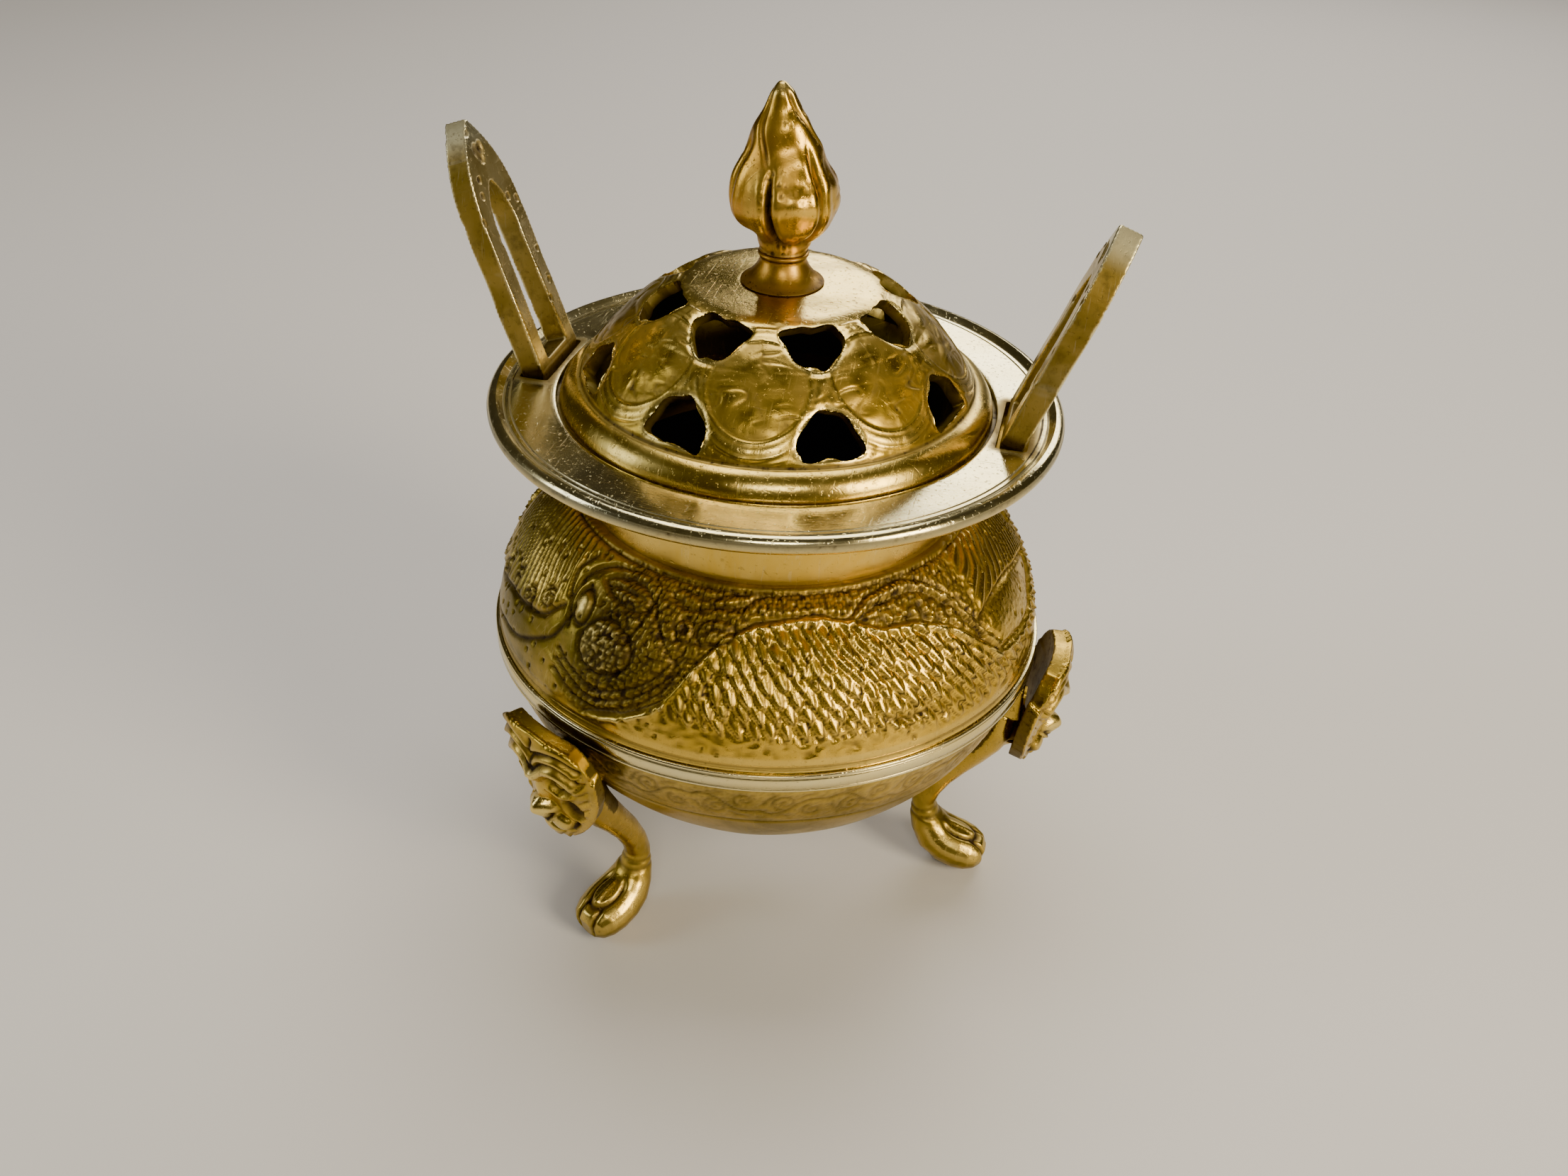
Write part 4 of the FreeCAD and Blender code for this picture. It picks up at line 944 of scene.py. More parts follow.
def make_band(sizes):
    """Turns the plain band over the joint of the two castings."""
    inner, low, high = sizes.belly_radius + 0.05 * MM, sizes.band_bottom, sizes.band_top
    out, line = sizes.belly_radius + sizes.band_proud, 0.15 * MM
    outline = [
        (inner, low), (out - line, low), (out, low + line), (out, low + 3 * line),
        (out - line, low + 4 * line), (out, low + 5 * line), (out + 0.03 * MM, (low + high) / 2),
        (out, high - 5 * line), (out - line, high - 4 * line), (out, high - 3 * line),
        (out, high - line), (out - line, high), (inner, high), (inner, low),
    ]
    piece = turned("plain_band", outline, 360)
    turn, radius, height = round_and_up(corners_of(piece))
    centre = np.abs(height - (low + high) / 2)
    mark(piece, "hollow", 0.8 * (radius < out - 0.5 * line) * (centre < 0.45 * (high - low)))
    mark(piece, "wear_and_highlight", 0.55 + 0.3 * waver(turn / 2, height / MM, 9.0, 1.0))
    # Painted shade towards the left of the band and painted light towards the right.
    mark(piece, "shade", 0.35 - 0.3 * fade(-50, 30, turn))
    hand_over(piece, "vessel", ["belly_band"], brass("polished"), 50)


# The legs


def swept(name, stations, count=20):
    """Extrudes a ring of corners from station to station and closes both ends.

    A station is (place, direction of one half axis, its length, direction of the other, its length)."""
    put_down_everything()
    bpy.ops.mesh.primitive_circle_add(vertices=count, radius=MM)
    piece = bpy.context.object
    piece.name = piece.data.name = name
    bpy.ops.object.mode_set(mode="EDIT")
    bpy.ops.mesh.select_all(action="SELECT")
    angles = np.arange(count) * math.tau / count
    for number, (place, along, reach, across, width) in enumerate(stations):
        if number:
            bpy.ops.mesh.extrude_region_move(TRANSFORM_OT_translate={"value": (0, 0, MM)})
        mesh = bmesh.from_edit_mesh(piece.data)
        mesh.verts.ensure_lookup_table()
        ring = mesh.verts[-count:] if number else mesh.verts[:]
        for corner, angle in zip(ring, angles):
            first = np.array(along) * reach * math.cos(angle)
            corner.co = np.array(place) + first + np.array(across) * width * math.sin(angle)
        bmesh.update_edit_mesh(piece.data)
        if number in (0, len(stations) - 1):
            bpy.ops.mesh.edge_face_add()
            if not number:
                bpy.ops.mesh.select_all(action="SELECT")
    clean_up(1e-7)
    bpy.ops.object.mode_set(mode="OBJECT")
    return piece


def cast_together(name, pieces, voxel, smooth=2):
    """Joins closed pieces and remeshes them in one skin, as if cast in one."""
    put_down_everything()
    for piece in pieces:
        piece.select_set(True)
    bpy.context.view_layer.objects.active = pieces[0]
    bpy.ops.object.join()
    cast = bpy.context.object
    cast.name = cast.data.name = name
    modify(cast, "REMESH", mode="VOXEL", voxel_size=voxel)
    if smooth:
        modify(cast, "SMOOTH", factor=0.5, iterations=smooth)
    return cast


def slab(name, low, high):
    """A block between two corners, as a start for a casting."""
    put_down_everything()
    middle = tuple((a + b) / 2 for a, b in zip(low, high))
    bpy.ops.mesh.primitive_cube_add(size=1.0, location=middle)
    piece = bpy.context.object
    piece.name = piece.data.name = name
    piece.scale = tuple(b - a for a, b in zip(low, high))
    bpy.ops.object.transform_apply(location=True, rotation=True, scale=True)
    return piece


def lion_mask(s, t, half_wide, tall):
    """A lion's face on a plate: s runs from -1 to 1 across it, and t from 0 at its top to 1 at its chin."""
    x, y = half_wide * np.abs(s), tall * t
    height = 0.9 * (1 - s**2) - 0.2
    dark = np.zeros_like(x)

    def groove(corners, depth, width):
        line = stroke(x, y, corners, width)
        height[:] -= depth * line
        np.maximum(dark, np.clip(1.2 * line, 0, 1), out=dark)

    # Brow, with folds over it
    height += 1.25 * stroke(x, y, [(0.6, 8.2), (2.6, 6.6), (5.2, 6.3), (8.0, 8.4)], 1.15)
    height += 0.8 * stroke(x, y, [(0, 5.6), (2.4, 3.9), (5.6, 3.4), (9.0, 5.2)], 0.8)
    height += 0.6 * stroke(x, y, [(0, 2.8), (2.6, 1.5), (6.2, 1.2), (9.6, 2.6)], 0.7)
    groove([(0, 4.3), (2.6, 2.8), (5.9, 2.3), (9.4, 4.0)], 0.55, 0.45)
    groove([(0.2, 7.0), (2.4, 5.2), (5.4, 4.8), (8.6, 6.8)], 0.6, 0.45)
    groove([(0, 1.2), (0, 6.6)], 0.5, 0.42)
    # Eyes
    socket = lobe(x, y, 4.3, 9.9, 2.5, 1.9, 12)
    height -= 1.5 * socket
    dark = np.maximum(dark, np.clip(1.3 * socket, 0, 1))
    ball = lobe(x, y, 4.3, 10.0, 1.25, 1.0)
    height += 1.2 * ball
    dark = dark * (1 - 0.7 * ball)
    height += 0.5 * stroke(x, y, [(2.0, 11.6), (4.2, 12.4), (6.6, 11.4)], 0.5)
    # Nose
    height += 1.1 * stroke(x, y, [(0, 7.0), (0, 12.0), (0, 15.6)], 1.35)
    nose = lobe(x, y, 0, 16.6, 3.0, 2.5)
    height += 2.5 * nose
    groove([(1.0, 18.2), (1.9, 17.6), (2.3, 16.8)], 0.8, 0.42)
    # Cheeks, muzzle and jaw
    hollow = lobe(x, y, 6.1, 15.2, 1.9, 2.6, -18)
    height -= 1.2 * hollow
    dark = np.maximum(dark, np.clip(1.2 * hollow, 0, 1))
    height += 1.5 * lobe(x, y, 3.1, 19.2, 2.9, 1.9, 14)
    groove([(0, 18.9), (0.1, 20.4), (2.4, 21.2), (4.9, 20.4), (6.0, 18.6)], 1.0, 0.5)
    height += 1.1 * lobe(x, y, 0, 22.2, 2.7, 1.5)
    # Side locks
    side = fade(7.0, 8.6, x) * fade(3.5, 6, y)
    lock = np.abs(np.sin((y + 0.8 * x) * math.pi / 2.1))
    height += side * (0.7 * np.sqrt(lock) - 0.45)
    dark = np.maximum(dark, side * np.clip(1 - 3 * lock, 0, 1))
    return height, np.clip(dark, 0, 1)


def make_legs(leg):
    """Casts one leg with its lion mask and foot, and copies it for the other two."""
    top, tall, wide = leg.mask_top, leg.mask_length, leg.mask_width / 2
    back, slope, thick = leg.mask_back, leg.mask_slope, leg.mask_thickness
    # The plate, narrowed to the chin
    put_down_everything()
    bpy.ops.mesh.primitive_grid_add(x_subdivisions=18, y_subdivisions=22, size=2.0)
    plate = bpy.context.object
    flat = corners_of(plate)
    s, t = flat[:, 0], (1 - flat[:, 1]) / 2
    levels = [0, 0.05, 0.12, 0.25, 0.5, 0.66, 0.8, 0.9, 1.0]
    reach = np.interp(t, levels, [0.66, 0.82, 0.93, 1.0, 0.97, 0.86, 0.68, 0.52, 0.30])
    lean_in = slope * t**1.2
    places = np.column_stack([
        back + thick - lean_in - 0.0022 * (s * reach) ** 2,
        s * reach * wide,
        top - t * tall - 0.0012 * (s * reach) ** 2 * (t < 0.2),
    ])
    set_corners(plate, places)
    modify(plate, "SOLIDIFY", thickness=thick - 0.2 * MM, offset=1.0)
    take_up(plate)
    bpy.ops.object.mode_set(mode="EDIT")
    clean_up(1e-7)
    bpy.ops.object.mode_set(mode="OBJECT")
    # The shin, swept down to the thin ankle and out in to the foot
    line = [
        (46.6, 41.0, 3.0, 4.2), (45.6, 36.8, 3.7, 4.2), (43.9, 33.0, 3.6, 3.8), (41.5, 29.2, 3.15, 3.35),
        (38.9, 25.6, 2.8, 3.0), (36.4, 21.8, 2.55, 2.75), (34.5, 18.2, 2.4, 2.6), (33.6, 15.0, 2.4, 2.6),
        (33.8, 12.2, 2.8, 3.1), (34.8, 9.4, 3.5, 4.0), (36.4, 7.0, 4.1, 4.9), (38.8, 5.4, 4.3, 5.4),
        (41.4, 4.6, 4.15, 5.5), (43.8, 4.0, 3.7, 5.1), (45.6, 3.5, 2.9, 4.2), (46.7, 3.2, 1.7, 2.8),
    ]
    path = np.array([(r, z) for r, z, _, _ in line])
    stations = []
    for number, (r, z, reach_out, half_wide) in enumerate(line):
        ahead = path[min(number + 1, len(line) - 1)] - path[max(number - 1, 0)]
        ahead = ahead / np.hypot(*ahead)
        outward = (-ahead[1] * MM, 0.0, ahead[0] * MM)
        stations.append(((r * MM, 0.0, z * MM), outward, reach_out, (0.0, MM, 0.0), half_wide))
    shin = swept("shin", stations, 24)
    boss = slab("boss", (back - 12.0 * MM, -3.6 * MM, 40.6 * MM), (back - 1.0 * MM, 3.6 * MM, 47.4 * MM))
    cast = cast_together("leg_right", [plate, shin, boss], 0.27 * MM, 2)
    # Faces and edges worked by hand
    places, outward = corners_of(cast), normals_of(cast)
    x, y, z = (places / MM).T
    t = np.clip((top / MM - z) / (tall / MM), 0, 1)
    face_line = (back + thick) / MM - slope / MM * t**1.2
    wide_here = np.interp(t, [0, 0.25, 0.5, 0.66, 0.8, 0.9, 1.0], [0.93, 1.0, 0.97, 0.86, 0.68, 0.52, 0.30])
    front = fade(-1.4, -0.4, x - face_line) * fade(0.25, 0.7, outward[:, 0]) * (z > 31.5)
    rim_fade = 1 - fade(0.90, 1.0, np.abs(y) / (wide / MM * wide_here))
    height, dark = lion_mask(y / (wide / MM), t, wide / MM, tall / MM)
    height = height * rim_fade * front
    dark = dark * rim_fade * front
    # Foot: a long oval and a middle rib engraved in its top, and flat underneath
    foot = fade(11.0, 9.0, z)
    over = foot * fade(-0.1, 0.3, outward[:, 2] + 0.5 * outward[:, 0])
    oval = ring_line(x, y, 41.2, 0.0, 3.9, 2.5, 0.42)
    rib = np.exp(-((y / 0.55) ** 2)) * fade(45.4, 44.0, x)
    toes = np.exp(-((np.abs(np.abs(y) - 2.0) / 0.42) ** 2)) * fade(43.6, 44.8, x)
    height = height - over * (0.55 * oval + 0.6 * toes) + over * 0.35 * rib
    dark = np.maximum(dark, over * np.clip(oval + toes, 0, 1))
    ankle = np.exp(-(((z - 12.0) / 0.5) ** 2)) + 0.8 * np.exp(-(((z - 13.6) / 0.4) ** 2))
    ankle = ankle * (x < 40)
    height = height - 0.22 * ankle
    dark = np.maximum(dark, 0.6 * ankle)
    height = height + 0.06 * waver(x + y, z, 5.0, 2.0)
    places += outward * height[:, None] * MM
    places[:, 2] -= places[:, 2].min() * fade(4.0, 1.0, z)
    set_corners(cast, places)
    # Painted shade behind the masks, where they face the belly.
    behind = (outward[:, 0] < -0.2) & (z > 31)
    mark(cast, "hollow", np.clip(dark + 0.7 * behind, 0, 1))
    # Wear on the masks' high points, and a painted highlight on the feet's upper faces.
    mark(cast, "wear_and_highlight", np.clip((height - 0.9) / 1.6, 0, 1) * front + 0.4 * over * (1 - dark))
    # Painted shade behind the masks and low on the shins and feet, away from the feet's upper faces.
    mark(cast, "shade", np.clip(0.35 + 0.5 * behind + 0.3 * fade(24, 14, z) * (1 - over), 0, 1))
    right = LEG_TURNS["right"]
    for name, degrees in LEG_TURNS.items():
        piece = cast if degrees == right else copy_turned(cast, "leg_" + name + "_cast", degrees)
        hand_over(piece, "vessel", ["leg_" + name], brass("leg"))
    cast.name = cast.data.name = "leg_right_cast"


# The handles


def hairpin(half_low, half_high, foot, shoulder, tip, radius, count=14):
    """Corners of one side of a pointed loop, from its foot to its tip, as (along, half width)."""
    side = straight((foot, half_low), (shoulder, half_high), 10)
    return side + curved((shoulder, half_high), (tip, 0.0), radius, count, -1) + [(tip, 0.0)]


def bar_plate(name, outer, inner, thickness):
    """An upright flat plate between two outlines with the same number of corners."""
    put_down_everything()
    rings = []
    for outline in (outer, inner):
        corners = [(0.0, width, along) for along, width in outline]
        piece = start_at(name, corners[0])
        draw_on(corners + corners[:1])
        bpy.ops.mesh.select_all(action="SELECT")
        bpy.ops.mesh.remove_doubles(threshold=3e-6)
        bpy.ops.object.mode_set(mode="OBJECT")
        rings.append(piece)
    put_down_everything()
    for ring in rings:
        ring.select_set(True)
    bpy.context.view_layer.objects.active = rings[0]
    bpy.ops.object.join()
    bpy.ops.object.mode_set(mode="EDIT")
    bpy.ops.mesh.select_all(action="SELECT")
    bpy.ops.mesh.bridge_edge_loops()
    bpy.ops.mesh.select_all(action="SELECT")
    bpy.ops.mesh.extrude_region_move(TRANSFORM_OT_translate={"value": (thickness, 0, 0)})
    bpy.ops.mesh.select_all(action="SELECT")
    bpy.ops.transform.translate(value=(-thickness / 2, 0, 0))
    clean_up(1e-7)
    bpy.ops.object.mode_set(mode="OBJECT")
    return rings[0]


def make_handle(handle, rim, name, length, degrees):
    """Cuts one hairpin loop with its tenon, leans it outwards and turns it to its side."""
    wide, bar, thick = handle.width / 2, handle.bar, handle.thickness
    shoulder, slot_top = length * handle.straight_share, handle.slot_low + length * handle.slot_share
    outer = hairpin(wide + 0.1 * MM, wide - 0.5 * MM, 0.0, shoulder, length, 22 * MM)
    slot = wide - bar
    inner = hairpin(slot + 0.3 * MM, slot - 0.3 * MM, handle.slot_low, shoulder - 5 * MM, slot_top, 11 * MM)
    outer_loop = outer + [(along, -half) for along, half in reversed(outer[:-1])]
    inner_loop = inner + [(along, -half) for along, half in reversed(inner[:-1])]
    loop = bar_plate("loop", outer_loop, inner_loop, thick)
    places = corners_of(loop)
    lean = handle.lean
    along, across, out = places[:, 2], places[:, 1], places[:, 0]
    set_corners(loop, np.column_stack([
        handle.circle + along * math.sin(lean) + out * math.cos(lean),
        across,
        rim.flat + along * math.cos(lean) - out * math.sin(lean),
    ]))
    half = thick / 2 - 0.1 * MM
    middle, tongue, tongue_end = handle.circle, 1.3 * MM, 5.5 * MM
    root = slab("root", (middle - half, -wide, rim.under), (middle + half, wide, rim.flat + 1.0 * MM))
    tenon = slab(
        "tenon",
        (middle - tongue, -tongue_end, rim.under - 2.3 * MM),
        (middle + tongue, tongue_end, rim.under),
    )
    cast = cast_together(name + "_loop", [loop, root, tenon], 0.26 * MM, 1)
    places, outward = corners_of(cast), normals_of(cast)
    shifted = places - np.array([handle.circle, 0, rim.flat])
    along = (shifted[:, 0] * math.sin(lean) + shifted[:, 2] * math.cos(lean)) / MM
    across = places[:, 1] / MM
    facing = outward[:, 0] * math.cos(lean) - outward[:, 2] * math.sin(lean)
    on_face = fade(0.4, 0.8, np.abs(facing)) * (along > 1.0)
    # A small heart sunk near the point, a chamfer round the faces, dents and pits
    sunk = (slot_top + length) / 2 / MM
    left, right = (lobe(across, along, side * 0.75, sunk, 1.15, 1.25, side * -20) for side in (-1, 1))
    heart = np.maximum(left, right)
    heart = np.maximum(heart, lobe(across, along, 0, sunk - 1.0, 1.0, 1.5)) * on_face
    chosen = chance(np.floor(across / 2.6), np.floor(along / 2.6), 8.0) > 0.84
    pits = fade(0.62, 0.9, grains(across, along, 2.6, 5.0)) * chosen * on_face
    dents = 0.09 * waver(across, along, 6.0, 3.0) * (along > 1.0)
    set_corners(cast, places + outward * (dents - 0.55 * heart - 0.22 * pits)[:, None] * MM)
    edge = 1 - np.abs(np.abs(facing) - 0.5) * 2
    tip = length / MM
    wear_and_sheen = np.clip(0.35 * on_face + 0.7 * fade(0.1, 0.7, edge) + fade(tip - 6, tip - 1, along), 0, 1)
    walls = (1 - fade(0.3, 0.7, np.abs(facing)))
    foot = fade(3.0, 0.3, along)
    dull_walls = walls * (1 - fade(0.1, 0.6, edge))
    mark(cast, "hollow", np.clip(0.9 * heart + 0.8 * pits + 0.45 * dull_walls + 0.7 * foot, 0, 1))
    mark(cast, "wear_and_highlight", wear_and_sheen * (1 - foot))
    clouds = waver(across, along, 9.0, 1.0)
    mark(cast, "shade", np.clip(0.25 + 0.35 * walls + 0.3 * clouds + 0.3 * foot, 0, 1))
    turn_mesh(cast, degrees)
    hand_over(cast, "vessel", [name], brass("handle"))


# The lid

UPPER_HOLE = dict(radius=20.0, height=117.6, lean=34.0, corners=[
    (0, -4.7), (1.5, -4.3), (3.5, -2.6), (4.8, 0.2), (4.9, 2.3), (3.6, 3.5), (1.5, 3.5), (0, 3.3),
    (-1.5, 3.5), (-3.6, 3.5), (-4.9, 2.3), (-4.8, 0.2), (-3.5, -2.6), (-1.5, -4.3), (0, -4.7),
])
LOWER_HOLE = dict(radius=30.2, height=106.4, lean=50.0, corners=[
    (-4.6, -3.4), (-2.3, -3.6), (0, -3.3), (2.3, -3.6), (4.6, -3.4), (5.3, -2.2), (4.8, 0.0), (3.5, 2.2),
    (1.6, 3.7), (0, 4.2), (-1.6, 3.7), (-3.5, 2.2), (-4.8, 0.0), (-5.3, -2.2), (-4.6, -3.4),
])


def hole_cutter(hole, degrees, seed):
    """A plug with a hole's outline, filed a little unevenly, that stands across the lid's wall."""
    lean, turn = math.radians(hole["lean"]), math.radians(degrees)
    upslope = np.array([-math.cos(lean), 0, math.sin(lean)])
    out = np.array([math.sin(lean), 0, math.cos(lean)])
    middle = np.array([hole["radius"], 0, hole["height"]])
    line = drawn_line(hole["corners"], 3)
    wobble = 1 + 0.10 * np.sin(np.arange(len(line)) * 0.9 + seed * 2.3) * 0.6
    wobble[-1] = wobble[0]
    slant = 0.10 * math.sin(seed * 1.7)
    loop = []
    for (across, along), share in zip(line, wobble):
        local = middle + upslope * (along + slant * across) * share - out * 5.0
        local = local + np.array([0, across * share, 0])
        loop.append((
            (local[0] * math.cos(turn) - local[1] * math.sin(turn)) * MM,
            (local[0] * math.sin(turn) + local[1] * math.cos(turn)) * MM,
            local[2] * MM,
        ))
    plug = start_at("plug", loop[0])
    draw_on(loop)
    bpy.ops.mesh.select_all(action="SELECT")
    bpy.ops.mesh.remove_doubles(threshold=2e-5)
    bpy.ops.mesh.edge_face_add()
    push = np.array([out[0] * math.cos(turn), out[0] * math.sin(turn), out[2]]) * 11 * MM
    bpy.ops.mesh.extrude_region_move(TRANSFORM_OT_translate={"value": tuple(push)})
    bpy.ops.mesh.select_all(action="SELECT")
    bpy.ops.mesh.normals_make_consistent(inside=False)
    bpy.ops.object.mode_set(mode="OBJECT")
    return plug


def run_of_lid(lid, radius, height):
    """Distance from the crown's middle along the lid's outside, in millimetres."""
    outline = lid_outside(lid)
    nearest, best, run = np.full(len(radius), 9.0), np.zeros(len(radius)), 7 * MM
    for (a, b), (c, d) in zip(outline, outline[1:]):
        span = math.hypot(c - a, d - b)
        share = np.clip(((radius - a) * (c - a) + (height - b) * (d - b)) / span**2, 0, 1)
        away = np.hypot(radius - a - share * (c - a), height - b - share * (d - b))
        closer = away < nearest
        nearest[closer], best[closer] = away[closer], run + span * share[closer]
        run += span
    return best / MM, nearest / MM


def lid_outside(lid):
    """The outside of the lid from its collar out to its foot."""
    crown_edge, haunch = (lid.crown_radius, lid.crown - 0.4 * MM), (lid.haunch_radius, lid.haunch_height)
    foot = (lid.dome_foot, lid.dome_foot_height)
    points = straight((7 * MM, lid.crown), crown_edge, 16)
    points += curved(crown_edge, haunch, 14 * MM, 30, -1)
    points += curved(haunch, foot, 50 * MM, 38, -1)
    points += curved(foot, (lid.edge_radius, 98.2 * MM), 4.6 * MM, 16, -1)
    return np.array(points + [(lid.edge_radius, 98.2 * MM)])


def chase_lid(turn, run, radius, first):
    """Ribbon rings that cross between the holes, leaves in the rings, and a polished crown with a painted
    highlight.
    """
    column = (turn + FRONT - first + 22.5) % 45 - 22.5
    number = np.floor((turn + FRONT - first + 22.5) / 45)
    across = np.radians(column) * radius
    side = np.radians(22.5 - np.abs(column)) * radius
    ring_at = 28.2
    away = np.hypot(side, run - ring_at)
    height, dark = np.zeros_like(run), np.zeros_like(run)
    inner_field = fade(8.3, 7.7, away)
    # Leaves in each ring
    angle = np.arctan2(run - ring_at, np.where(column > 0, side, -side))
    petals = np.abs(np.cos(2.5 * angle + 0.7 * np.sin(number)))
    reach = away / 7.6
    leaf = np.clip(1 - np.abs(reach - 0.55) / 0.42, 0, 1) * petals**0.7
    fifth = np.mod(angle * 5 / math.tau + 0.5 + 0.11 * np.sin(number), 1) - 0.5
    vein = np.exp(-(fifth**2) / 0.0018) * (reach > 0.25) * (reach < 0.95)
    height += inner_field * (0.14 * leaf - 0.03 - 0.04 * vein)
    patchy = np.clip(0.75 + 0.55 * waver(across + 3 * number, run, 4.0, 3.0), 0, 1)
    dark = np.maximum(dark, inner_field * np.clip(0.50 - 0.6 * leaf, 0, 0.9) * patchy)
    # Short wandering strokes of the chaser's punch, and soft hammering
    wander = waver(across + 3 * number, run, 3.4, 8.0)
    here_and_there = np.clip(0.2 + 1.6 * waver(across + 5 * number, run, 5.5, 6.0), 0, 1)
    strokes = np.exp(-((wander / 0.13) ** 2)) * here_and_there
    height += 0.20 * wander - 0.26 * strokes
    dark = np.maximum(dark, 0.8 * strokes)
    # The ribbon, with a fine line near each edge, passing over and under at each crossing
    ribbon = fade(7.9, 8.4, away) * fade(11.2, 10.7, away)
    lines = np.exp(-(((away - 8.9) / 0.26) ** 2)) + np.exp(-(((away - 10.3) / 0.26) ** 2))
    height = height * (1 - 0.6 * ribbon) + ribbon * (0.28 - 0.10 * lines)
    dark = np.maximum(dark * (1 - 0.5 * ribbon), 0.35 * ribbon * np.clip(lines, 0, 1) * patchy)
    borders = np.exp(-(((away - 7.75) / 0.3) ** 2)) + np.exp(-(((away - 11.35) / 0.3) ** 2))
    height -= 0.09 * borders * (run > 15.0)
    dark = np.maximum(dark, 0.35 * np.clip(borders, 0, 1) * (run > 15.0) * patchy)
    crossing = np.exp(-(((np.abs(run - ring_at) - 2.6) / 0.35) ** 2)) * np.exp(-((across / 2.6) ** 2))
    height -= 0.25 * crossing
    dark = np.maximum(dark, 0.6 * crossing)
    # Bright edges filed round the holes
    wear_and_sheen = np.zeros_like(run)
    for middle, hole in ((20.6, UPPER_HOLE), (35.4, LOWER_HOLE)):
        rim = away_from(across, middle - run, hole["corners"], 2.5)
        filed = np.exp(-((rim / 0.75) ** 2))
        height = height * (1 - 0.8 * filed) - 0.30 * np.exp(-((rim / 0.45) ** 2))
        wear_and_sheen = np.maximum(wear_and_sheen, filed)
        dark = dark * (1 - 0.9 * filed)
    # The crown is plain and polished out to the rings, with a painted highlight on it
    crown = fade(18.4, 14.8, run) * fade(10.4, 12.4, away)
    height = height * (1 - crown) + crown * 0.08
    dark = dark * (1 - crown)
    wear_and_sheen = np.maximum(wear_and_sheen, 0.95 * crown)
    skirt = fade(39.6, 40.6, run)
    seam = np.exp(-(((run - 40.0) / 0.42) ** 2))
    height = height * (1 - skirt) - 0.35 * seam
    dark = np.maximum(dark * (1 - skirt), 0.85 * seam)
    wear_and_sheen = np.maximum(wear_and_sheen * (1 - skirt), 0.45 * skirt)
    wear_and_sheen = np.maximum(wear_and_sheen, 0.6 * np.clip((height - 0.12) / 0.25, 0, 1) * (1 - dark))
    # Painted highlight over the crown and upper dome, fading out down the lid.
    wear_and_sheen = np.maximum(wear_and_sheen, 0.55 * fade(30, 20, run) * (1 - dark))
    return height, np.clip(dark, 0, 1), np.clip(wear_and_sheen, 0, 1)


def make_lid(lid, rim):
    """Turns the lid, cuts its sixteen holes and chases its rings."""
    wall, seat = lid.wall, rim.seat
    outside = [tuple(p) for p in lid_outside(lid)]
    fine = []
    for start, end in zip(outside, outside[1:]):
        fine += [start, tuple(np.add(start, end) / 2)] if end[0] > 13 * MM and end[1] > 100 * MM else [start]
    spigot = 29.9 * MM
    outline = [(2.1 * MM, lid.crown), (4.5 * MM, lid.crown)] + fine + [(lid.edge_radius, seat)]
    outline += [(spigot + 3 * MM, seat), (spigot, seat), (spigot, seat - 2.4 * MM), (spigot, seat - 4.7 * MM)]
    outline += [(spigot - 1.5 * MM, seat - 4.7 * MM), (spigot - 1.5 * MM, seat - 1.5 * MM)]
    foot = (lid.dome_foot - 2.7 * MM, lid.dome_foot_height - 0.5 * MM)
    outline += straight((spigot - 1.5 * MM, seat + 1.5 * MM), foot, 2)
    haunch = (lid.haunch_radius - wall, lid.haunch_height - wall / 2)
    crown = (lid.crown_radius - 0.4 * MM, lid.crown - wall - 0.4 * MM)
    outline += curved(foot, haunch, 48 * MM, 8) + curved(haunch, crown, 12 * MM, 6)
    outline += straight(crown, (2.1 * MM, lid.crown - wall), 3) + [(2.1 * MM, lid.crown - wall)]
    piece = turned("pierced_lid", outline + outline[:1], 480)
    plugs = []
    for number in range(8):
        direction = lid.first_hole + 45 * number
        plugs += [hole_cutter(UPPER_HOLE, direction, number), hole_cutter(LOWER_HOLE, direction, number + 11)]
    put_down_everything()
    for plug in plugs:
        plug.select_set(True)
    bpy.context.view_layer.objects.active = plugs[0]
    bpy.ops.object.join()
    cut(piece, plugs[0])
    places = corners_of(piece)
    turn, radius, height = round_and_up(places)
    run, away = run_of_lid(lid, radius, height)
    outer = (away < 0.35) & (height > seat + 0.05 * MM)
    heights, dark, wear_and_sheen = chase_lid(turn, run, radius / MM, lid.first_hole)
    x, y = places[:, 0] / MM, places[:, 1] / MM
    soft = 0.10 * waver(x, y, 9.0, 2.0)
    push_out(piece, np.where(outer, heights * lid.relief + soft * MM, 0))
    # The inside faces get painted shade in the hollow and shade masks.
    mark(piece, "hollow", np.where(outer, dark, 0.45))
    mark(piece, "wear_and_highlight", np.where(outer, wear_and_sheen, 0.0))
    mark(piece, "shade", np.clip(np.where(outer, 0.30 + 0.45 * waver(x, y, 17.0, 7.0), 0.9), 0, 1))
    hand_over(piece, "lid", ["lid_dome"], brass("lid"), 50)


# The finial


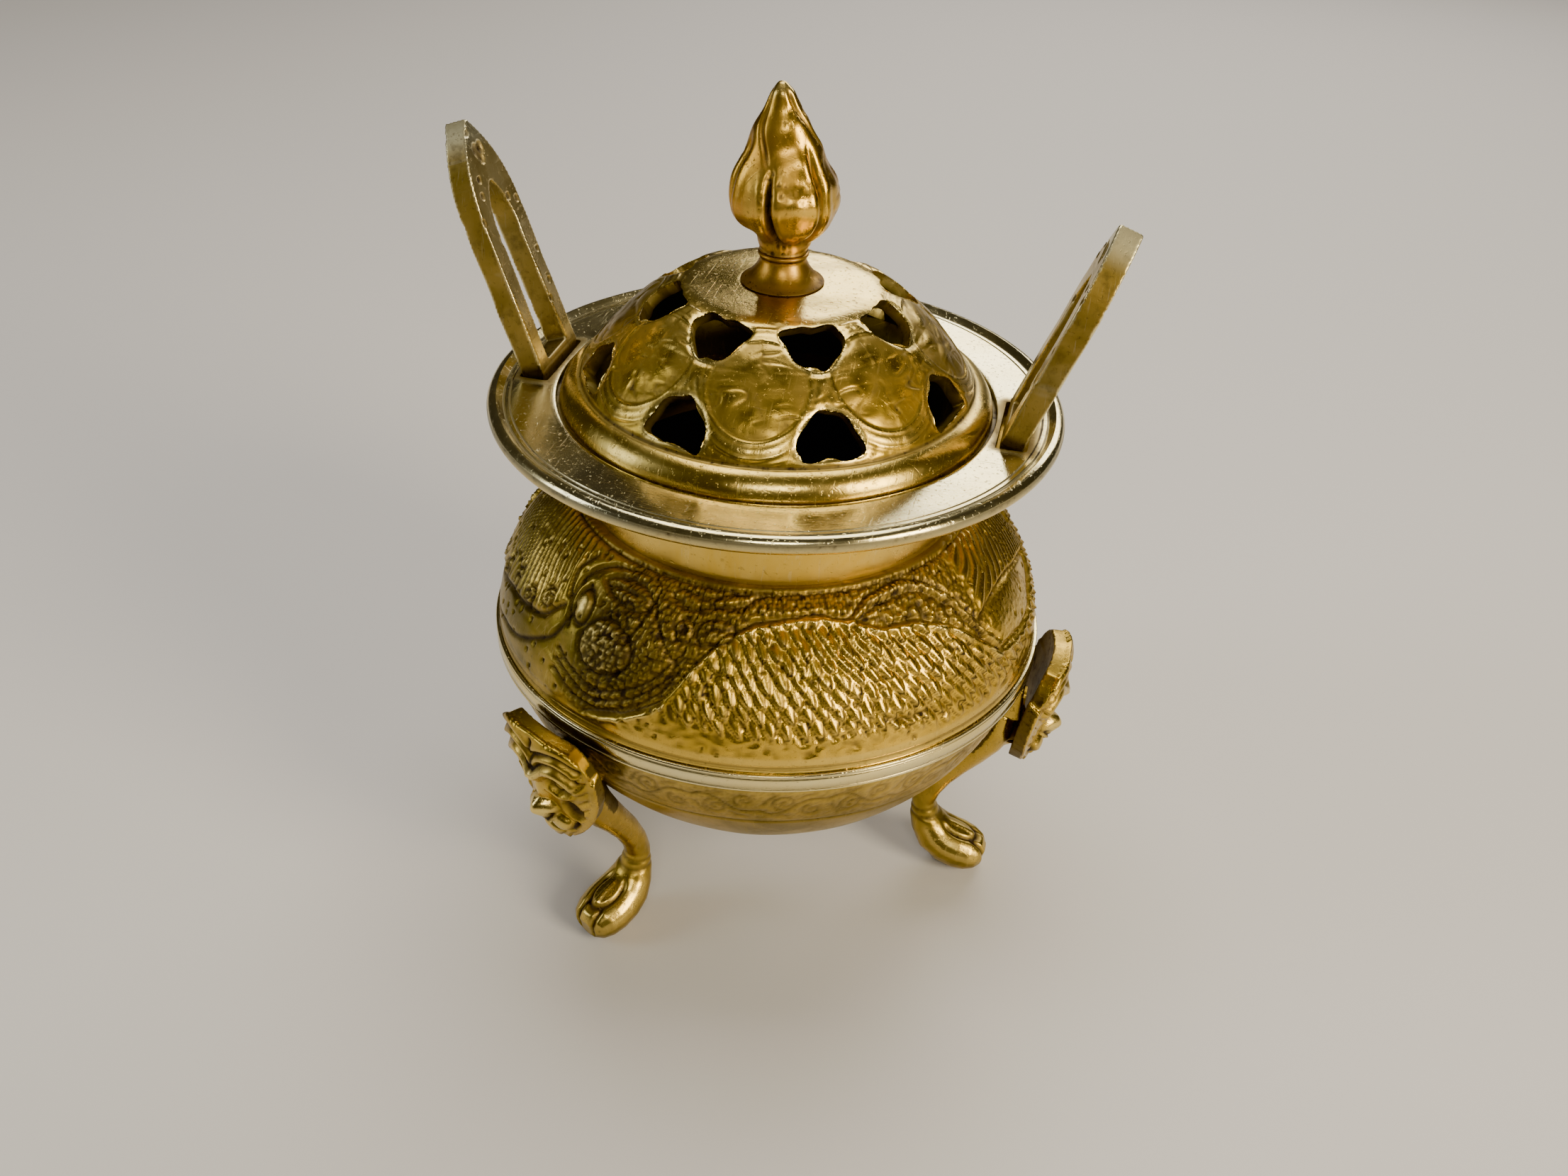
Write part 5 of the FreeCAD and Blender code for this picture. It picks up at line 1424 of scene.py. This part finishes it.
def make_collar(finial):
    """Turns the bell-shaped collar under the bud."""
    foot, joint, crown = finial.collar_radius, finial.joint_radius, 119.4 * MM
    top = finial.joint_height
    outline = [(2.1 * MM, crown), (foot - 0.3 * MM, crown), (foot, crown + 0.25 * MM)]
    outline += curved((foot, crown + 0.25 * MM), (joint - 0.25 * MM, top - 0.9 * MM), 6.6 * MM, 16, -1)
    for out, down in ((0.05, 0.85), (0.3, 0.6), (0.3, 0.3), (0.0, 0.1), (-0.2, 0.0)):
        outline.append((joint + out * MM, top - down * MM))
    outline += [(2.1 * MM, top), (2.1 * MM, crown)]
    piece = turned("finial_collar_bell", outline, 96)
    modify(piece, "SUBSURF", levels=1, render_levels=1)
    _, radius, height = round_and_up(corners_of(piece))
    low, neck = fade(120.9, 119.9, height / MM), np.exp(-(((height / MM - 123.95) / 0.35) ** 2))
    mark(piece, "hollow", np.clip(0.55 * low + 0.8 * neck + 0.15, 0, 1))
    mark(piece, "wear_and_highlight", np.zeros(len(radius)))
    mark(piece, "shade", np.full(len(radius), 0.95))
    hand_over(piece, "lid", ["finial_collar"], brass("finial"), 45)


def make_bud(finial):
    """Turns the bud and carves its overlapping petals, its deep front groove and its bent tip."""
    top, foot = finial.tip_height / MM, finial.joint_height / MM
    outline = drawn_line([
        (0.0, foot), (3.7, foot), (3.9, foot + 0.6), (4.7, foot + 2.2), (7.2, foot + 5.0),
        (8.35, foot + 8.2), (8.0, foot + 10.9), (6.9, foot + 13.9), (5.7, foot + 16.6),
        (4.6, foot + 19.3), (3.3, foot + 22.0), (1.9, foot + 24.7), (0.75, top - 0.3), (0.0, top),
    ], 8)
    outline = [(max(r, 0.0) * MM, z * MM) for r, z in outline]
    piece = turned("flame_bud", outline, 200)
    turn, radius, height = round_and_up(corners_of(piece))
    rise = (height / MM - foot) / (top - foot)
    high = height / MM
    # Soft creases part the petals from the base up, deepest at the front; a row is a crease's direction,
    # its depth, the share of the height where it ends and how far it wanders
    reach = radius / MM
    heights, dark = np.zeros_like(high), np.zeros_like(high)
    creases = [
        (-12, 1.7, 0.60, 7), (46, 1.0, 0.72, 4), (108, 1.3, 0.62, -6),
        (168, 1.4, 0.58, 6), (-132, 1.1, 0.68, -5), (-72, 0.7, 0.74, 5),
    ]
    for direction, depth, end, wander in creases:
        off = np.abs((turn - direction + wander * np.sin(np.pi * rise) + 180) % 360 - 180)
        line = np.exp(-((np.radians(off) * reach / (0.42 + 0.5 * fade(0.35, 0.05, rise))) ** 2))
        line = line * fade(end, end - 0.22, rise) * fade(0.05, 0.14, rise)
        heights -= depth * line
        lip = np.exp(-(((np.radians(off) * reach - 1.5) / 0.9) ** 2))
        heights += 0.35 * lip * fade(end, end - 0.2, rise) * fade(0.1, 0.3, rise)
        dark = np.maximum(dark, line * min(1.0, 0.5 + 0.35 * depth))
    # Folds that wind up to the bent point
    fold = (turn + 150 * rise) % 120 - 60
    winding = np.exp(-((np.radians(fold) * reach / 0.45) ** 2))
    winding = winding * fade(0.52, 0.66, rise) * fade(0.99, 0.92, rise)
    heights -= 0.5 * winding
    dark = np.maximum(dark, 0.75 * winding)
    spots = corners_of(piece) / MM
    lumps = 0.26 * waver(spots[:, 0], high, 5.0, 2.0) + 0.26 * waver(spots[:, 1], high, 5.5, 4.0)
    along = spots[:, 0] + 0.4 * spots[:, 1]
    patches = np.clip(2.0 * waver(along, high, 6.0, 9.0), 0, 1)
    pits = fade(0.6, 0.9, grains(along, high, 1.4, 6.0)) * fade(0.95, 0.8, rise) * patches
    foot_line = np.exp(-(((rise - 0.075 - 0.01 * np.cos(np.radians(3 * turn))) / 0.02) ** 2))
    fuller = 0.3 * fade(0.10, 0.2, rise) * fade(0.7, 0.4, rise)
    heights += fuller + 1.5 * lumps - 0.12 * pits - 0.25 * foot_line
    heights = heights * fade(0.0, 0.05, rise) * fade(1.0, 0.93, rise)
    heights = np.where(radius < 1e-5, 0, heights)
    push_out(piece, heights * MM)
    places = corners_of(piece)
    lean = math.radians(FRONT + 90)
    shift = 2.0 * np.clip(rise - 0.25, 0, 1) ** 1.5 * MM
    places[:, 0] -= math.cos(lean) * shift
    places[:, 1] -= math.sin(lean) * shift
    set_corners(piece, places)
    stained = np.clip(0.55 + 0.6 * waver(spots[:, 0] - spots[:, 1], high, 6.0, 3.0), 0, 1)
    stained = stained * fade(-20, -50, np.abs(turn + 20) - 60)
    dark = np.clip(dark + 0.55 * pits + 0.4 * foot_line + 0.35 * stained + 0.5 * fade(0.05, 0.0, rise), 0, 1)
    mark(piece, "hollow", dark)
    mark(piece, "wear_and_highlight", np.clip(0.9 * fade(0.90, 0.98, rise) + 0.25 * lumps, 0, 1) * (1 - dark))
    shade = 0.55 + 0.3 * waver(spots[:, 0], high, 8.0, 5.0) + 0.4 * fade(0.25, 0.05, rise)
    mark(piece, "shade", np.clip(shade, 0, 1))
    hand_over(piece, "lid", ["finial_bud"], brass("finial"))


# The stage


def soft_light(name, place, target, power, width, tint):
    """A large soft lamp that faces a point."""
    put_down_everything()
    bpy.ops.object.light_add(type="AREA", location=place)
    lamp = bpy.context.object
    lamp.name = lamp.data.name = name
    lamp.data.shape = "RECTANGLE"
    lamp.data.size, lamp.data.size_y = width
    lamp.data.energy, lamp.data.color = power, tint
    lamp.rotation_euler = aimed(place, target)


def aimed(place, target):
    """The turn that faces a lamp's or camera's own -Z at a point, with +Y up."""
    return (Vector(target) - Vector(place)).to_track_quat("-Z", "Y").to_euler()


def set_stage(context):
    """Lays a plain pale floor, hangs soft lights round the censer and stands the camera."""
    put_down_everything()
    bpy.ops.mesh.primitive_grid_add(x_subdivisions=12, y_subdivisions=12, size=6.0, location=(0, 0, 0))
    floor = bpy.context.object
    floor.name = floor.data.name = "floor"
    floor.data.materials.append(plain_floor("pale_floor", tuple(context.scene.censer_finish.floor)))
    world = bpy.data.worlds.new("soft_room")
    context.scene.world = world
    world.use_nodes = True
    world.node_tree.nodes["Background"].inputs["Color"].default_value = (0.90, 0.80, 0.68, 1.0)
    world.node_tree.nodes["Background"].inputs["Strength"].default_value = 0.08
    heart = (0.0, 0.0, 0.07)
    soft_light("window_right", (0.70, -0.35, 0.42), heart, 11.0, (0.30, 0.42), (1.0, 0.86, 0.62))
    soft_light("ceiling", (-0.05, 0.20, 0.95), heart, 9.0, (0.7, 0.5), (1.0, 0.93, 0.82))
    soft_light("fill_left", (-0.80, -0.30, 0.40), heart, 3.0, (0.28, 0.5), (0.93, 0.96, 1.0))
    soft_light("front", (0.20, -0.80, 0.75), heart, 4.0, (0.30, 0.20), (1.0, 0.93, 0.80))
    soft_light("back", (0.15, 0.95, 0.55), heart, 7.0, (0.8, 0.30), (1.0, 0.94, 0.86))
    # The camera stands before the belly's front, tipped down at the rim
    around, stand = math.radians(12.5), Vector((0.0, -0.22977, 0.21466))
    yaw, pitch, roll = 0.01241, 0.59637, 0.05106
    ahead = Vector((math.sin(yaw) * math.cos(pitch), math.cos(yaw) * math.cos(pitch), -math.sin(pitch)))
    across = Vector((math.cos(yaw), -math.sin(yaw), 0.0))
    over = across.cross(ahead)
    right = math.cos(roll) * across + math.sin(roll) * over
    up = math.cos(roll) * over - math.sin(roll) * across
    spin = Matrix.Rotation(around, 3, "Z")
    put_down_everything()
    bpy.ops.object.camera_add()
    camera = bpy.context.object
    camera.name = camera.data.name = "camera"
    axes = Matrix((spin @ right, spin @ up, spin @ -ahead)).transposed()
    camera.matrix_world = Matrix.Translation(spin @ stand) @ axes.to_4x4()
    camera.data.sensor_width, camera.data.lens = 36.0, 34.18
    camera.data.clip_start, camera.data.clip_end = 0.01, 20.0
    context.scene.camera = camera
    context.scene.view_settings.look = "AgX - Punchy"


# The pieces, one button each


class CENSER_OT_bowl(bpy.types.Operator):
    """Turn the lower bowl and chase its frieze"""

    bl_idname = "censer.bowl"
    bl_label = "Bowl"

    def execute(self, context):
        make_bowl(context.scene.censer_vessel)
        return {"FINISHED"}


class CENSER_OT_shoulder(bpy.types.Operator):
    """Turn the shoulder and chase the serpent on it"""

    bl_idname = "censer.shoulder"
    bl_label = "Shoulder"

    def execute(self, context):
        make_shoulder(context.scene.censer_vessel)
        return {"FINISHED"}


class CENSER_OT_rim(bpy.types.Operator):
    """Turn the neck with its wide rim and cut the slots for the handles"""

    bl_idname = "censer.rim"
    bl_label = "Rim"

    def execute(self, context):
        scene = context.scene
        make_rim(scene.censer_vessel, scene.censer_rim, scene.censer_handle)
        return {"FINISHED"}


class CENSER_OT_band(bpy.types.Operator):
    """Turn the plain band"""

    bl_idname = "censer.band"
    bl_label = "Band"

    def execute(self, context):
        make_band(context.scene.censer_vessel)
        return {"FINISHED"}


class CENSER_OT_fixings(bpy.types.Operator):
    """Give the screws, washers, anchor plates and nut their finish"""

    bl_idname = "censer.fixings"
    bl_label = "Fixings"

    def execute(self, context):
        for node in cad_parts.values():
            if not node.hide_render:
                node.data.materials.clear()
                node.data.materials.append(brass("fixing"))
        return {"FINISHED"}


class CENSER_OT_stage(bpy.types.Operator):
    """Set up the floor, the lights and the camera"""

    bl_idname = "censer.stage"
    bl_label = "Stage"

    def execute(self, context):
        set_stage(context)
        return {"FINISHED"}


class CENSER_OT_legs(bpy.types.Operator):
    """Cast the three legs with their lion masks"""

    bl_idname = "censer.legs"
    bl_label = "Legs"

    def execute(self, context):
        make_legs(context.scene.censer_leg)
        return {"FINISHED"}


class CENSER_OT_handles(bpy.types.Operator):
    """Cut the two hairpin handles, each to its own length"""

    bl_idname = "censer.handles"
    bl_label = "Handles"

    def execute(self, context):
        handle, rim = context.scene.censer_handle, context.scene.censer_rim
        make_handle(handle, rim, "handle_right", handle.right_length, HANDLE_TURNS["right"])
        make_handle(handle, rim, "handle_left", handle.left_length, HANDLE_TURNS["left"])
        return {"FINISHED"}


class CENSER_OT_lid(bpy.types.Operator):
    """Turn, pierce and chase the lid"""

    bl_idname = "censer.lid"
    bl_label = "Lid"

    def execute(self, context):
        make_lid(context.scene.censer_lid, context.scene.censer_rim)
        return {"FINISHED"}


class CENSER_OT_collar(bpy.types.Operator):
    """Turn the collar under the bud"""

    bl_idname = "censer.collar"
    bl_label = "Collar"

    def execute(self, context):
        make_collar(context.scene.censer_finial)
        return {"FINISHED"}


class CENSER_OT_bud(bpy.types.Operator):
    """Turn the bud and carve its petals"""

    bl_idname = "censer.bud"
    bl_label = "Bud"

    def execute(self, context):
        make_bud(context.scene.censer_finial)
        return {"FINISHED"}


PIECES = ("bowl", "shoulder", "rim", "band", "legs", "handles", "lid", "collar", "bud", "fixings", "stage")


class CENSER_PT_workbench(bpy.types.Panel):
    """Lists the pieces and their sizes"""

    bl_idname = "CENSER_PT_workbench"
    bl_label = "Thurible Censer"
    bl_space_type = "VIEW_3D"
    bl_region_type = "UI"
    bl_category = "Censer"

    def draw(self, context):
        for name in PIECES:
            self.layout.operator("censer." + name)
        for name, group in GROUPS.items():
            box = self.layout.box()
            box.label(text=name.split("_")[1].title())
            for field in group.__annotations__:
                box.prop(getattr(context.scene, name), field)


CLASSES = (
    *GROUPS.values(),
    CENSER_OT_bowl,
    CENSER_OT_shoulder,
    CENSER_OT_rim,
    CENSER_OT_band,
    CENSER_OT_legs,
    CENSER_OT_handles,
    CENSER_OT_lid,
    CENSER_OT_collar,
    CENSER_OT_bud,
    CENSER_OT_fixings,
    CENSER_OT_stage,
    CENSER_PT_workbench,
)


def register():
    for each in CLASSES:
        bpy.utils.register_class(each)
    for name, group in GROUPS.items():
        setattr(bpy.types.Scene, name, bpy.props.PointerProperty(type=group))


def unregister():
    for name in GROUPS:
        delattr(bpy.types.Scene, name)
    for each in reversed(CLASSES):
        bpy.utils.unregister_class(each)


def main():
    register()
    for name in PIECES:
        getattr(bpy.ops.censer, name)()


if __name__ == "__main__":
    main()
